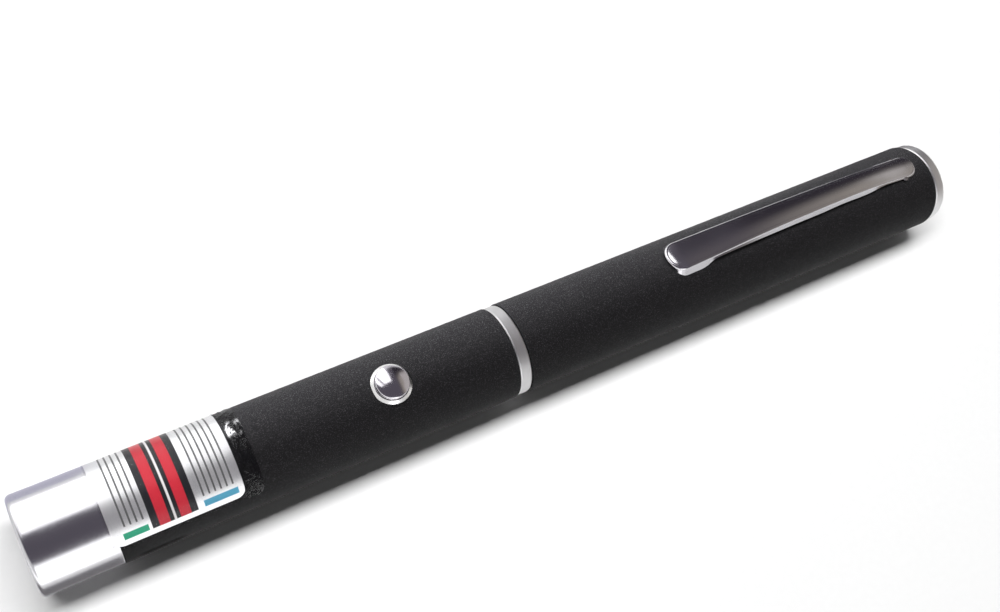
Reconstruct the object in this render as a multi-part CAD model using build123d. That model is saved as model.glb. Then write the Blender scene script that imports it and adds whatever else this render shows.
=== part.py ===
from build123d import *
import math
import os

os.makedirs("parts", exist_ok=True)

# A pen-shaped laser pointer lying on its side.
# Lengths are millimetres. X runs along the pen, and the beam leaves towards -X.
# The pieces are drawn about the pen's own axis, measured from the nozzle's front face,
# and placed at the end: the origin is on the table under the middle of the pen.

# Clearances
press_gap = 0.02
run_gap = 0.08
face_gap = 0.05
cut_over = 1.0
match = 0.001

# Dry cells, which set how wide the pen is
cell_count = 2
cell_length = 44.2
cell_radius = 5.2
cell_jacket_wall = 0.12
cell_jacket_lip = 0.9
cell_nub_radius = 1.9
cell_nub_rise = 0.9
cell_cap_inset = 0.53
cell_cap_thickness = 0.3
cell_seal_thickness = 0.4
cell_crimp_bevel = 0.5

# Barrels
cell_room = 0.75
barrel_wall = 1.05
joint_bevel = 0.15
rear_round = 0.7

# Nozzle
nozzle_length = 10.8
nozzle_edge = 0.7
nozzle_rim = 2.1
mouth_depth = 2.2
aperture_radius = 2.2
aperture_land = 1.2
nozzle_spigot_length = 5.2
nozzle_spigot_wall = 1.03

# Coupling ring between the two barrels
ring_width = 2.0
ring_drop = 0.12
ring_bevel = 0.3
ring_setback = 14.65
ring_cell_gap = 0.25
socket_step = 0.2
front_spigot_length = 6.0
thread_spigot_length = 6.5
socket_relief = 0.6

# Laser module
module_length = 18.0
module_wall = 1.31
neck_length = 7.6
neck_wall = 1.17
neck_bore_length = 10.6
beam_radius = 2.2
module_floor = 0.8
lens_cell_rim_length = 1.9
lens_cell_rim_inset = 0.32
lens_cell_shank_length = 4.6
lens_cell_shank_wall = 0.97
lens_rim_wall = 1.28
lens_edge = 0.9
lens_crown = 0.9
lens_seat_depth = 2.0
filter_lip = 0.4
filter_thickness = 0.7
expander_radius = 1.75
expander_thickness = 1.3
expander_hollow = 0.45
crystal_holder_step = 0.6
crystal_holder_length = 7.0
crystal_channel_radius = 0.8
crystal_side = 1.6
crystal_length = 2.6
diode_flange_radius = 2.8
diode_flange_thickness = 1.2
diode_cap_radius = 1.8
diode_cap_length = 1.9
diode_window_radius = 0.7
diode_window_depth = 0.25
diode_pin_circle = 1.27
diode_pin_radius = 0.22
diode_pin_lap = 2.2
diode_ring_length = 5.0

# Driver board, with its parts lying on it
board_gap = 1.5
board_end_clearance = 0.15
board_thickness = 1.0
sleeve_wall = 0.3
sleeve_overlap = 0.5
chip_length = 4.9
chip_width = 3.9
chip_height = 1.5
chip_offset = 4.9
chip_leg_reach = 1.0
chip_leg_width = 0.45
chip_leg_pitch = 1.27
chip_leg_count = 4
trimmer_side = 3.4
trimmer_height = 1.1
trimmer_offset = 9.7
trimmer_rotor_radius = 1.3
trimmer_rotor_height = 0.4
trimmer_slot_width = 0.4
trimmer_slot_depth = 0.25
capacitor_length = 1.6
capacitor_width = 2.8
capacitor_height = 1.7
capacitor_offset = 0.4
capacitor_side_share = 0.611
resistor_length = 1.6
resistor_width = 0.8
resistor_height = 0.5
resistor_place_shares = ((0.52, 0.70), (0.52, -0.70), (0.40, 0.78))

# Push switch
switch_offset = 15.7
switch_side = 6.0
switch_height = 3.5
switch_cover_thickness = 0.25
switch_corner = 0.6
switch_well_radius = 2.25
switch_well_depth = 1.7
switch_leg_width = 0.7
switch_leg_thickness = 0.3
switch_leg_reach = 0.6
switch_leg_place_share = 0.75
plunger_radius = 1.75
snap_dome_rise = 0.4
snap_dome_crown = 0.9
snap_dome_thickness = 0.1

# Button and its bezel
button_radius = 2.7
button_dome_rise = 1.25
button_travel = 0.35
button_flange_radius = 3.05
button_flange_thickness = 0.5
bezel_width = 0.27
bezel_stand = 0.35
bezel_edge = 0.14
bezel_tuck = 0.3

# Battery contacts
contact_board_thickness = 0.8
contact_spring_wire = 0.2
contact_spring_length = 1.6
contact_spring_base_radius = 3.0
contact_spring_tip_radius = 1.3
contact_spring_turns = 1.5
tail_spring_wire = 0.3
tail_spring_length = 6.4
tail_spring_gap = 0.83
tail_spring_turns = 4
spring_wire_side_count = 6

# Tail cap
tail_cap_length = 1.9
tail_cap_drop = 0.25
tail_cap_bevel = 0.3
tail_cap_round = 0.5
tail_plug_length = 3.0
tail_plug_wall = 0.9
tail_floor = 1.7

# Pocket clip: its arm is a pressed channel with a foot at the tip and a tab at the root
clip_roll_angle = 11.4
clip_length = 49.9
clip_end_setback = 3.2
clip_rise = 1.8
clip_sheet = 0.45
clip_tip_half = 2.4
clip_root_half = 1.68
clip_flare = 0.5
clip_tip_lean = 0.45
clip_edge_round = 0.35
clip_foot_depth = 0.9
clip_cavity_share = 0.87
clip_tab_clearance = 0.2
clip_tab_thickness = 0.6
clip_tab_half = 1.9
clip_hook_half = 1.2
clip_hook_clearance = 0.4
clip_hook_drop = 0.3
clip_top_shares = (
    (-0.03, 0.56), (0.03, 0.61), (0.08, 0.66), (0.16, 0.74), (0.28, 0.90), (0.45, 1.00),
    (0.62, 0.98), (0.78, 0.86), (0.88, 0.63), (0.95, 0.42), (1.03, 0.31),
)
clip_edge_shares = (
    (0.165, 0.01), (0.25, 0.03), (0.40, 0.03), (0.58, 0.11), (0.78, 0.27),
    (0.86, 0.32), (0.92, 0.25), (0.96, 0.14), (1.03, 0.05),
)
clip_foot_share = 0.105
slot_clearance = 0.35

# Label and the clear tape over it
label_overlap = 0.6
label_length = 17.6
label_thickness = 0.1
label_near_angle = -56.0
label_far_angle = 144.0
label_corner = 1.3
tape_thickness = 0.05
tape_front_margin = 0.3
tape_rear_margin = 2.6
tape_side_angle = 6.0

# Radii that follow from the cells outwards, and then inwards again in the module
bore_radius = cell_radius + cell_room
barrel_radius = bore_radius + barrel_wall
spigot_radius = bore_radius - press_gap
mouth_radius = barrel_radius - nozzle_edge - nozzle_rim
nozzle_bore_radius = spigot_radius - nozzle_spigot_wall
ring_bore_radius = cell_radius + ring_cell_gap
socket_radius = bore_radius + socket_step
neck_radius = nozzle_bore_radius - run_gap
neck_bore_radius = neck_radius - neck_wall
lens_cell_rim_radius = neck_radius - lens_cell_rim_inset
lens_cell_shank_radius = neck_bore_radius - run_gap
lens_cell_bore_radius = lens_cell_shank_radius - lens_cell_shank_wall
lens_radius = lens_cell_rim_radius - lens_rim_wall - press_gap
filter_radius = beam_radius + filter_lip
diode_ring_radius = spigot_radius - module_wall - press_gap
crystal_holder_radius = diode_ring_radius - crystal_holder_step
tail_plug_bore_radius = spigot_radius - tail_plug_wall
tail_spring_radius = tail_plug_bore_radius - tail_spring_gap - tail_spring_wire

# Places along the pen that follow from the sizes above
spigot_end = nozzle_length + nozzle_spigot_length
nozzle_web_end = mouth_depth + aperture_land
module_start = spigot_end + face_gap
module_end = module_start + module_length
neck_start = module_start - neck_length
lens_cell_start = neck_start - lens_cell_rim_length
neck_bore_end = neck_start + neck_bore_length
filter_start = neck_bore_end + module_floor
filter_end = filter_start + filter_thickness
holder_start = filter_end
holder_end = holder_start + crystal_holder_length
diode_ring_start = holder_end
diode_flange_start = diode_ring_start + diode_cap_length + face_gap
board_start = module_end + board_gap
board_tail = max(button_flange_radius, switch_side / 2) + board_end_clearance
board_length = switch_offset + board_tail
board_end = board_start + board_length
board_top = -diode_pin_circle * math.sin(math.radians(30)) - diode_pin_radius
board_bottom = board_top - board_thickness
sleeve_radius = bore_radius - face_gap
sleeve_bore = sleeve_radius - sleeve_wall
button_x = board_start + switch_offset
switch_top = board_top + switch_height
bezel_radius = button_radius + run_gap + bezel_width
bezel_top = barrel_radius + bezel_stand
bezel_low = math.sqrt(bore_radius**2 - bezel_radius**2) - bezel_tuck
button_flange_top = bezel_low - face_gap
button_bottom = button_flange_top - button_flange_thickness
plunger_top = button_bottom - face_gap
contact_face = board_end + contact_board_thickness
ring_start = contact_face + ring_setback
ring_end = ring_start + ring_width
cells_start = contact_face + contact_spring_length
cells_end = cells_start + cell_count * cell_length
tail_floor_x = cells_end + tail_spring_length
rear_barrel_end = tail_floor_x + tail_floor - tail_cap_length
overall_length = rear_barrel_end + tail_cap_length
clip_rear = rear_barrel_end - clip_end_setback
clip_front = clip_rear - clip_length
clip_tab_x = cells_end + clip_tab_clearance
label_start = nozzle_length - label_overlap
label_end = label_start + label_length


def turned(outline):
    """A solid turned about the pen's axis from a closed outline of (place, radius)."""
    edge = Polyline(*[(place, 0, radius) for place, radius in outline], close=True)
    return revolve(make_face(edge), Axis.X)


def drum(start, end, radius):
    """A plain round bar along the pen, from one place to another."""
    return turned([(start, 0), (start, radius), (end, radius), (end, 0)])


def rings_at(solid, place, radius):
    """The round edges of a turned piece at one place and one radius."""
    found = []
    for edge in solid.edges().filter_by(GeomType.CIRCLE):
        same_place = math.isclose(edge.arc_center.X, place, abs_tol=match)
        same_radius = math.isclose(edge.radius, radius, abs_tol=match)
        if same_place and same_radius:
            found.append(edge)
    return found


def post(x, radius, low, high, y=0):
    """An upright round bar between two heights over the pen's axis."""
    return Pos(x, y, (low + high) / 2) * Cylinder(radius, high - low)


def block(x, y, low, length, width, height):
    """A block centred over a point, standing on a height."""
    return Pos(x, y, low + height / 2) * Box(length, width, height)


def tube_between(start, end, inner, outer):
    """A plain round tube along the pen."""
    return turned([(start, inner), (start, outer), (end, outer), (end, inner)])


def coil_path(start, length, first_radius, last_radius, turns):
    """A coil about the pen's axis, as tangent pairs of arcs over each quarter turn."""
    steps = turns * 4
    whole_turn = 2 * math.pi

    def point_and_heading(step):
        share = step / steps
        angle = whole_turn * turns * share
        radius = first_radius + (last_radius - first_radius) * share
        growth = (last_radius - first_radius) / (whole_turn * turns)
        climb = length / (whole_turn * turns)
        spot = Vector(start + length * share, radius * math.cos(angle), radius * math.sin(angle))
        heading = Vector(
            climb,
            growth * math.cos(angle) - radius * math.sin(angle),
            growth * math.sin(angle) + radius * math.cos(angle),
        )
        return spot, heading.normalized()

    edges = []
    for step in range(int(steps)):
        spot, heading = point_and_heading(step)
        next_spot, next_heading = point_and_heading(step + 1)
        gap = next_spot - spot
        both = heading + next_heading
        square = 2 * (1 - heading.dot(next_heading))
        linear = 2 * gap.dot(both)
        reach = (-linear + math.sqrt(linear**2 + 4 * square * gap.dot(gap))) / (2 * square)
        first_corner = spot + heading * reach
        second_corner = next_spot - next_heading * reach
        middle = (first_corner + second_corner) / 2
        turn = second_corner - first_corner
        edges.append(TangentArc(spot, middle, tangent=heading))
        edges.append(TangentArc(middle, next_spot, tangent=turn))
    return Wire(edges)


def coil(start, length, first_radius, last_radius, turns, wire_radius):
    """A spring of round wire along the pen, standing between two faces."""
    run = length - 2 * wire_radius
    path = coil_path(start + wire_radius, run, first_radius, last_radius, turns)
    section = Plane(origin=path @ 0, z_dir=path % 0) * RegularPolygon(
        wire_radius, spring_wire_side_count)
    spring = sweep(section, path)
    pitch = run / turns
    cone = abs(first_radius - last_radius) / turns
    self_gap = math.hypot(pitch, cone) - 2 * wire_radius
    ratio = spring.volume / (section.area * path.length)
    print(f"coil: {turns} turns, least gap to itself {self_gap:.2f} mm, volume ratio {ratio:.4f}")
    return spring


# Nozzle: the countersunk mouth leads to the aperture, and the spigot goes into the barrel
nozzle = turned([
    (0, mouth_radius),
    (0, barrel_radius - nozzle_edge),
    (nozzle_edge, barrel_radius),
    (nozzle_length - joint_bevel, barrel_radius),
    (nozzle_length, barrel_radius - joint_bevel),
    (nozzle_length, spigot_radius),
    (spigot_end - joint_bevel, spigot_radius),
    (spigot_end, spigot_radius - joint_bevel),
    (spigot_end, nozzle_bore_radius),
    (nozzle_web_end, nozzle_bore_radius),
    (nozzle_web_end, aperture_radius),
    (mouth_depth, aperture_radius),
])

# Front barrel: a tube with a hole for the bezel and a socket for the coupling ring
front_barrel = turned([
    (nozzle_length, bore_radius),
    (nozzle_length, barrel_radius - joint_bevel),
    (nozzle_length + joint_bevel, barrel_radius),
    (ring_start - joint_bevel, barrel_radius),
    (ring_start, barrel_radius - joint_bevel),
    (ring_start, socket_radius),
    (ring_start - front_spigot_length - socket_relief, socket_radius),
    (ring_start - front_spigot_length - socket_relief, bore_radius),
])
front_barrel -= post(button_x, bezel_radius + press_gap, 0, barrel_radius + cut_over)

# Coupling ring: the band shows, one spigot is pressed forwards, the other carries the thread
band_radius = barrel_radius - ring_drop
press_spigot_radius = socket_radius - press_gap
thread_radius = socket_radius - run_gap
coupling_ring = turned([
    (ring_start - front_spigot_length, ring_bore_radius),
    (ring_start - front_spigot_length, press_spigot_radius - joint_bevel),
    (ring_start - front_spigot_length + joint_bevel, press_spigot_radius),
    (ring_start, press_spigot_radius),
    (ring_start, band_radius - ring_bevel),
    (ring_start + ring_bevel, band_radius),
    (ring_end - ring_bevel, band_radius),
    (ring_end, band_radius - ring_bevel),
    (ring_end, thread_radius),
    (ring_end + thread_spigot_length - joint_bevel, thread_radius),
    (ring_end + thread_spigot_length, thread_radius - joint_bevel),
    (ring_end + thread_spigot_length, ring_bore_radius),
])

# Laser module: the housing's neck screws into the nozzle, and its steps seat the optics
module_housing = turned([
    (neck_start, neck_bore_radius),
    (neck_start, neck_radius),
    (module_start, neck_radius),
    (module_start, spigot_radius - joint_bevel),
    (module_start + joint_bevel, spigot_radius),
    (module_end - joint_bevel, spigot_radius),
    (module_end, spigot_radius - joint_bevel),
    (module_end, diode_ring_radius + press_gap),
    (diode_ring_start, diode_ring_radius + press_gap),
    (diode_ring_start, crystal_holder_radius + press_gap),
    (holder_start, crystal_holder_radius + press_gap),
    (holder_start, filter_radius + press_gap),
    (filter_start, filter_radius + press_gap),
    (filter_start, beam_radius),
    (neck_bore_end, beam_radius),
    (neck_bore_end, neck_bore_radius),
])

lens_cell = turned([
    (lens_cell_start, lens_radius + press_gap),
    (lens_cell_start, lens_cell_rim_radius - joint_bevel),
    (lens_cell_start + joint_bevel, lens_cell_rim_radius),
    (neck_start - face_gap, lens_cell_rim_radius),
    (neck_start - face_gap, lens_cell_shank_radius),
    (neck_start + lens_cell_shank_length, lens_cell_shank_radius),
    (neck_start + lens_cell_shank_length, lens_cell_bore_radius),
    (lens_cell_start + lens_seat_depth, lens_cell_bore_radius),
    (lens_cell_start + lens_seat_depth, lens_radius + press_gap),
])


def domed_disc(flat, edge, crown, radius):
    """A lens with a flat back at one place and a crowned or hollowed face towards -X."""
    rim = (flat - edge, 0, radius)
    pole = (flat - edge - crown, 0, 0)
    sphere = (radius**2 + crown**2) / (2 * abs(crown))
    centre = flat - edge - crown + math.copysign(sphere, crown)
    half_angle = math.asin(radius / sphere) / 2
    waist = (centre - math.copysign(sphere, crown) * math.cos(half_angle), 0,
             sphere * math.sin(half_angle))
    face = ThreePointArc(rim, waist, pole)
    back = Polyline(pole, (flat, 0, 0), (flat, 0, radius), rim)
    return revolve(make_face(face + back), Axis.X)


collimating_lens = domed_disc(
    lens_cell_start + lens_seat_depth - press_gap, lens_edge, lens_crown, lens_radius)
infrared_filter = drum(filter_start + press_gap, filter_end - press_gap, filter_radius)
expander_lens = domed_disc(
    holder_start + expander_thickness, expander_thickness - press_gap,
    -expander_hollow, expander_radius)

crystal_start = holder_end - crystal_length
crystal_holder = turned([
    (holder_start, expander_radius + press_gap),
    (holder_start, crystal_holder_radius),
    (holder_end, crystal_holder_radius),
    (holder_end, crystal_channel_radius),
    (holder_start + expander_thickness, crystal_channel_radius),
    (holder_start + expander_thickness, expander_radius + press_gap),
])
crystal_space = crystal_side + 2 * press_gap
crystal_holder -= block(
    holder_end, 0, -crystal_space / 2, 2 * crystal_length, crystal_space, crystal_space)
crystal_block = block(
    holder_end - crystal_length / 2 + press_gap / 2, 0, -crystal_side / 2,
    crystal_length - press_gap, crystal_side, crystal_side)

# Pump diode: a flanged can with a window, held by a ring, with three pins to the board
diode_flange_end = diode_flange_start + diode_flange_thickness
pump_diode = turned([
    (diode_flange_start - diode_cap_length + diode_window_depth, 0),
    (diode_flange_start - diode_cap_length + diode_window_depth, diode_window_radius),
    (diode_flange_start - diode_cap_length, diode_window_radius),
    (diode_flange_start - diode_cap_length, diode_cap_radius),
    (diode_flange_start, diode_cap_radius),
    (diode_flange_start, diode_flange_radius),
    (diode_flange_end, diode_flange_radius),
    (diode_flange_end, 0),
])
pin_end = board_start + diode_pin_lap
for pin_angle in (90, 210, 330):
    pin_y = diode_pin_circle * math.cos(math.radians(pin_angle))
    pin_z = diode_pin_circle * math.sin(math.radians(pin_angle))
    pump_diode += Pos(0, pin_y, pin_z) * drum(
        diode_flange_end - diode_flange_thickness / 2, pin_end, diode_pin_radius)

diode_ring_end = diode_ring_start + diode_ring_length
diode_ring = turned([
    (diode_ring_start, diode_cap_radius + run_gap),
    (diode_ring_start, diode_ring_radius),
    (diode_ring_end, diode_ring_radius),
    (diode_ring_end, diode_flange_radius + press_gap),
    (diode_flange_start, diode_flange_radius + press_gap),
    (diode_flange_start, diode_cap_radius + run_gap),
])

# Driver board: as wide as the insulating sleeve lets its lower corners be
board_half = math.sqrt(sleeve_bore**2 - board_bottom**2) - face_gap
driver_board = block(
    board_start + board_length / 2, 0, board_bottom, board_length, 2 * board_half,
    board_thickness)
board_sleeve = tube_between(
    board_start - sleeve_overlap, contact_face, sleeve_bore, sleeve_radius)
board_sleeve -= post(
    button_x, button_flange_radius + sleeve_wall, 0, barrel_radius + cut_over)

chip_x = board_start + chip_offset
driver_chip = block(chip_x, 0, board_top, chip_length, chip_width, chip_height)
for leg in range(chip_leg_count):
    leg_x = chip_x + (leg - (chip_leg_count - 1) / 2) * chip_leg_pitch
    driver_chip += block(
        leg_x, 0, board_top, chip_leg_width, chip_width + 2 * chip_leg_reach,
        chip_height / 4)

trimmer_x = board_start + trimmer_offset
trimmer_base = block(trimmer_x, 0, board_top, trimmer_side, trimmer_side, trimmer_height)
rotor_low = board_top + trimmer_height
rotor_high = rotor_low + trimmer_rotor_height
trimmer_rotor = post(trimmer_x, trimmer_rotor_radius, rotor_low, rotor_high)
trimmer_rotor -= block(
    trimmer_x, 0, rotor_high - trimmer_slot_depth, 2 * trimmer_rotor_radius,
    trimmer_slot_width, trimmer_slot_depth + cut_over)

capacitor = block(
    board_start + capacitor_offset + capacitor_length / 2,
    capacitor_side_share * board_half, board_top,
    capacitor_length, capacitor_width, capacitor_height)

resistor_solids = []
for along_share, side_share in resistor_place_shares:
    resistor_solids.append(block(
        board_start + along_share * board_length, side_share * board_half, board_top,
        resistor_width, resistor_length, resistor_height))
resistors = Compound(children=resistor_solids)

# Push switch: a square base under a plate, a snap dome in its well and a round plunger
cover_low = switch_top - switch_cover_thickness
switch_base = block(button_x, 0, board_top, switch_side, switch_side, cover_low - board_top)
switch_base = chamfer(switch_base.edges().filter_by(Axis.Z), switch_corner)
well_floor = cover_low - switch_well_depth
switch_base -= post(button_x, switch_well_radius, well_floor, switch_top)
switch_cover = block(
    button_x, 0, cover_low, switch_side, switch_side, switch_cover_thickness)
switch_cover -= post(
    button_x, plunger_radius + run_gap, cover_low - cut_over, switch_top + cut_over)
leg_solids = []
for end in (-1, 1):
    for side in (-1, 1):
        leg_y = side * (switch_side + switch_leg_thickness) / 2
        leg_x = button_x + end * switch_leg_place_share * switch_side / 2
        leg_solids.append(block(
            leg_x, leg_y, board_bottom - switch_leg_reach, switch_leg_width,
            switch_leg_thickness, switch_height + board_thickness))
switch_legs = Compound(children=leg_solids)
for leg in leg_solids:
    driver_board -= offset(leg, press_gap)

dome_low = well_floor + snap_dome_thickness
dome_radius = switch_well_radius - run_gap


def dished_disc(x, low, rim, crown, rise, thickness):
    """A thin dished disc of even thickness: a cone that rises from its rim to a flat crown."""
    edge = Polyline(
        (x, 0, low + rise - thickness), (x + crown, 0, low + rise - thickness),
        (x + rim - thickness, 0, low), (x + rim, 0, low), (x + crown + thickness, 0, low + rise),
        (x, 0, low + rise), close=True)
    return revolve(make_face(edge), Axis((x, 0, 0), (0, 0, 1)))


snap_dome = dished_disc(
    button_x, dome_low, dome_radius, snap_dome_crown, snap_dome_rise, snap_dome_thickness)
plunger_low = dome_low + snap_dome_rise + face_gap
switch_plunger = post(button_x, plunger_radius, plunger_low, plunger_top)

# Bezel and button: the flange under the barrel's wall keeps the button from falling out
button_bezel = post(button_x, bezel_radius, bezel_low, bezel_top)
button_bezel = chamfer(button_bezel.edges().group_by(Axis.Z)[-1], bezel_edge)
button_bezel -= post(
    button_x, button_radius + run_gap, bezel_low - cut_over, bezel_top + cut_over)
dome_start = bezel_top + button_travel / 2
dome_top = dome_start + button_dome_rise
dome_sphere = (button_radius**2 + button_dome_rise**2) / (2 * button_dome_rise)
button = post(button_x, button_radius, button_flange_top, dome_top)
button &= Pos(button_x, 0, dome_top - dome_sphere) * Sphere(dome_sphere) + post(
    button_x, button_radius, button_flange_top, dome_start)
button += post(button_x, button_flange_radius, button_bottom, button_flange_top)

# Battery contacts
contact_board = drum(board_end, contact_face, sleeve_bore - press_gap)
contact_spring = coil(
    contact_face, contact_spring_length, contact_spring_base_radius,
    contact_spring_tip_radius, contact_spring_turns, contact_spring_wire)
tail_spring = coil(
    cells_end, tail_spring_length, tail_spring_radius, tail_spring_radius,
    tail_spring_turns, tail_spring_wire)


def dry_cell(start):
    """The can, jacket, positive cap and seal of one cell, with its cap towards -X."""
    end = start + cell_length
    can_start = start + cell_nub_rise + cell_seal_thickness
    can_radius = cell_radius - cell_jacket_wall
    seal_radius = can_radius - cell_jacket_lip - face_gap
    cap_rim_radius = seal_radius - cell_cap_inset
    can = turned([
        (can_start, 0),
        (can_start, can_radius - cell_crimp_bevel),
        (can_start + cell_crimp_bevel, can_radius),
        (end - cell_crimp_bevel, can_radius),
        (end, can_radius - cell_crimp_bevel),
        (end, 0),
    ])
    jacket = turned([
        (can_start + cell_crimp_bevel, can_radius),
        (can_start, can_radius - cell_crimp_bevel),
        (can_start, can_radius - cell_jacket_lip),
        (can_start - cell_jacket_wall, can_radius - cell_jacket_lip),
        (can_start - cell_jacket_wall, can_radius - cell_crimp_bevel),
        (can_start + cell_crimp_bevel - cell_jacket_wall, cell_radius),
        (end - cell_crimp_bevel, cell_radius),
        (end - cell_crimp_bevel, can_radius),
    ])
    cap = turned([
        (start, 0),
        (start, cell_nub_radius),
        (start + cell_nub_rise - cell_cap_thickness, cell_nub_radius),
        (start + cell_nub_rise - cell_cap_thickness, cap_rim_radius),
        (start + cell_nub_rise, cap_rim_radius),
        (start + cell_nub_rise, 0),
    ])
    seal = tube_between(start + cell_nub_rise, can_start, 0, seal_radius)
    return {"can": can, "jacket": jacket, "cap": cap, "seal": seal}


cell_pieces = {}
for place, cell_name in enumerate(("front_cell", "rear_cell")):
    for piece_name, piece in dry_cell(cells_start + place * cell_length).items():
        cell_pieces[f"{cell_name}_{piece_name}"] = piece

# Rear barrel: a tube with a thread socket in front and a slot for the clip's tab
rear_barrel = turned([
    (ring_end, socket_radius),
    (ring_end, barrel_radius - joint_bevel),
    (ring_end + joint_bevel, barrel_radius),
    (rear_barrel_end, barrel_radius),
    (rear_barrel_end, bore_radius),
    (ring_end + thread_spigot_length + socket_relief, bore_radius),
    (ring_end + thread_spigot_length + socket_relief, socket_radius),
])
rear_barrel = fillet(rings_at(rear_barrel, rear_barrel_end, barrel_radius), rear_round)
slot = block(
    clip_tab_x + clip_tab_thickness / 2, 0, bore_radius - barrel_wall,
    clip_tab_thickness + 2 * slot_clearance, 2 * (clip_tab_half + slot_clearance / 2),
    2 * barrel_wall + cut_over)
rear_barrel -= Rot(X=-clip_roll_angle) * slot

# Tail cap: a band that closes the end, with a plug pressed into the barrel
cap_radius = barrel_radius - tail_cap_drop
plug_start = rear_barrel_end - tail_plug_length
tail_cap = turned([
    (plug_start, tail_plug_bore_radius),
    (plug_start, spigot_radius - joint_bevel),
    (plug_start + joint_bevel, spigot_radius),
    (rear_barrel_end, spigot_radius),
    (rear_barrel_end, cap_radius - tail_cap_bevel),
    (rear_barrel_end + tail_cap_bevel, cap_radius),
    (overall_length, cap_radius),
    (overall_length, 0),
    (tail_floor_x, 0),
    (tail_floor_x, tail_plug_bore_radius),
])
tail_cap = fillet(rings_at(tail_cap, overall_length, cap_radius), tail_cap_round)


def clip_spot(along_share, rise_share, lower=0):
    """A point of the clip's side view, from shares of its length and rise."""
    along = clip_front + along_share * clip_length
    return (along, 0, barrel_radius + rise_share * clip_rise - lower)


def clip_plan(level, inset):
    """The clip's plan at a height: it flares downwards, and its tip leans back to the foot."""
    depth_share = (barrel_radius + clip_rise - level) / clip_rise
    grow = depth_share * clip_flare - inset
    tip_half = clip_tip_half + grow
    root_half = clip_root_half + grow
    tip_x = clip_front + clip_tip_half + depth_share * (clip_flare + clip_tip_lean)
    root_x = clip_rear - clip_root_half
    lean = math.asin((tip_half - root_half) / (root_x - tip_x))
    tip_side = (tip_x + tip_half * math.sin(lean), tip_half * math.cos(lean))
    root_side = (root_x + root_half * math.sin(lean), root_half * math.cos(lean))
    tip_other = (tip_side[0], -tip_side[1])
    root_other = (root_side[0], -root_side[1])
    outline = (
        Line(tip_side, root_side)
        + ThreePointArc(root_side, (root_x + root_half, 0), root_other)
        + Line(root_other, tip_other)
        + ThreePointArc(tip_other, (tip_x - tip_half, 0), tip_side))
    return Pos(0, 0, level) * make_face(outline)


def clip_mass(side_view, inset):
    """What the flared plan and a side view have in common."""
    low = barrel_radius - clip_foot_depth - cut_over
    high = barrel_radius + clip_rise + cut_over
    sides = loft([clip_plan(low, inset), clip_plan(high, inset)], ruled=True)
    reach = clip_tip_half + 2 * clip_flare + cut_over
    return sides & extrude(Pos(0, -reach, 0) * side_view, amount=2 * reach, dir=(0, 1, 0))


# Pocket clip: an arched channel over the barrel, closed round the tip, with a foot below it
foot_low = barrel_radius - clip_foot_depth
clip_ends = (clip_top_shares[0][0], clip_top_shares[-1][0])
foot_line = Line(
    (clip_front + clip_ends[0] * clip_length, 0, foot_low),
    (clip_front + clip_foot_share * clip_length, 0, foot_low))
top_points = [clip_spot(along, rise) for along, rise in clip_top_shares]
edge_points = [clip_spot(along, rise) for along, rise in clip_edge_shares]
clip_side = make_face(
    Spline(*top_points)
    + Line(top_points[-1], edge_points[-1])
    + Spline(foot_line @ 1, *edge_points)
    + foot_line
    + Line(foot_line @ 0, top_points[0]))
clip_arm = clip_mass(clip_side, 0)
top_face = clip_arm.faces().sort_by(Axis.Z)[-1]
clip_arm = fillet(top_face.edges(), clip_edge_round)

roof_points = [
    clip_spot(along, rise, clip_sheet)
    for along, rise in clip_top_shares
    if along < clip_cavity_share
]
cavity_low = foot_low - cut_over
cavity_side = make_face(
    Spline(*roof_points)
    + Polyline(
        roof_points[-1],
        (roof_points[-1][0], 0, cavity_low),
        (roof_points[0][0], 0, cavity_low),
        roof_points[0]))
clip_arm -= clip_mass(cavity_side, clip_sheet)
clip_arm -= drum(clip_front - cut_over, clip_rear + cut_over, barrel_radius + run_gap)

hook_high = math.sqrt(bore_radius**2 - clip_hook_half**2) - clip_hook_drop
hook_low = hook_high - clip_sheet
hook_length = plug_start - clip_hook_clearance - clip_tab_x
clip_tab = block(
    clip_tab_x + clip_tab_thickness / 2, 0, hook_low, clip_tab_thickness, 2 * clip_tab_half,
    barrel_radius + clip_sheet - hook_low)
clip_hook = block(
    clip_tab_x + hook_length / 2, 0, hook_low, hook_length, 2 * clip_hook_half, clip_sheet)
pocket_clip = Rot(X=-clip_roll_angle) * (clip_arm + clip_tab + clip_hook)


def wrapped_sheet(start, end, near_edge, far_edge, inner, outer, corner):
    """A thin sheet bent round the barrel between two angles, with rounded corners."""
    section = make_face(Polyline(
        (start, 0, inner), (start, 0, outer), (end, 0, outer), (end, 0, inner), close=True))
    sheet = revolve(Rot(X=-far_edge) * section, Axis.X, far_edge - near_edge)
    for corner_x, inwards_x in ((start, 1), (end, -1)):
        for angle, inwards_y in ((near_edge, 1), (far_edge, -1)):
            centre_x = corner_x + inwards_x * corner
            centre_y = inwards_y * corner
            square = block(
                centre_x - inwards_x * corner, centre_y - inwards_y * corner,
                inner - cut_over, 2 * corner, 2 * corner, outer - inner + 2 * cut_over)
            disc = post(centre_x, corner, inner - cut_over, outer + cut_over, centre_y)
            sheet -= Rot(X=-angle) * (square - disc)
    return sheet


# Label with a clear tape over it, which reaches past it on every side
label_inner = barrel_radius + press_gap
label_outer = label_inner + label_thickness
label = wrapped_sheet(
    label_start, label_end, label_near_angle, label_far_angle, label_inner, label_outer,
    label_corner)
label_tape = wrapped_sheet(
    label_start - tape_front_margin, label_end + tape_rear_margin,
    label_near_angle - tape_side_angle, label_far_angle + tape_side_angle,
    label_inner, label_outer + tape_thickness, label_corner)
label_tape -= label

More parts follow.
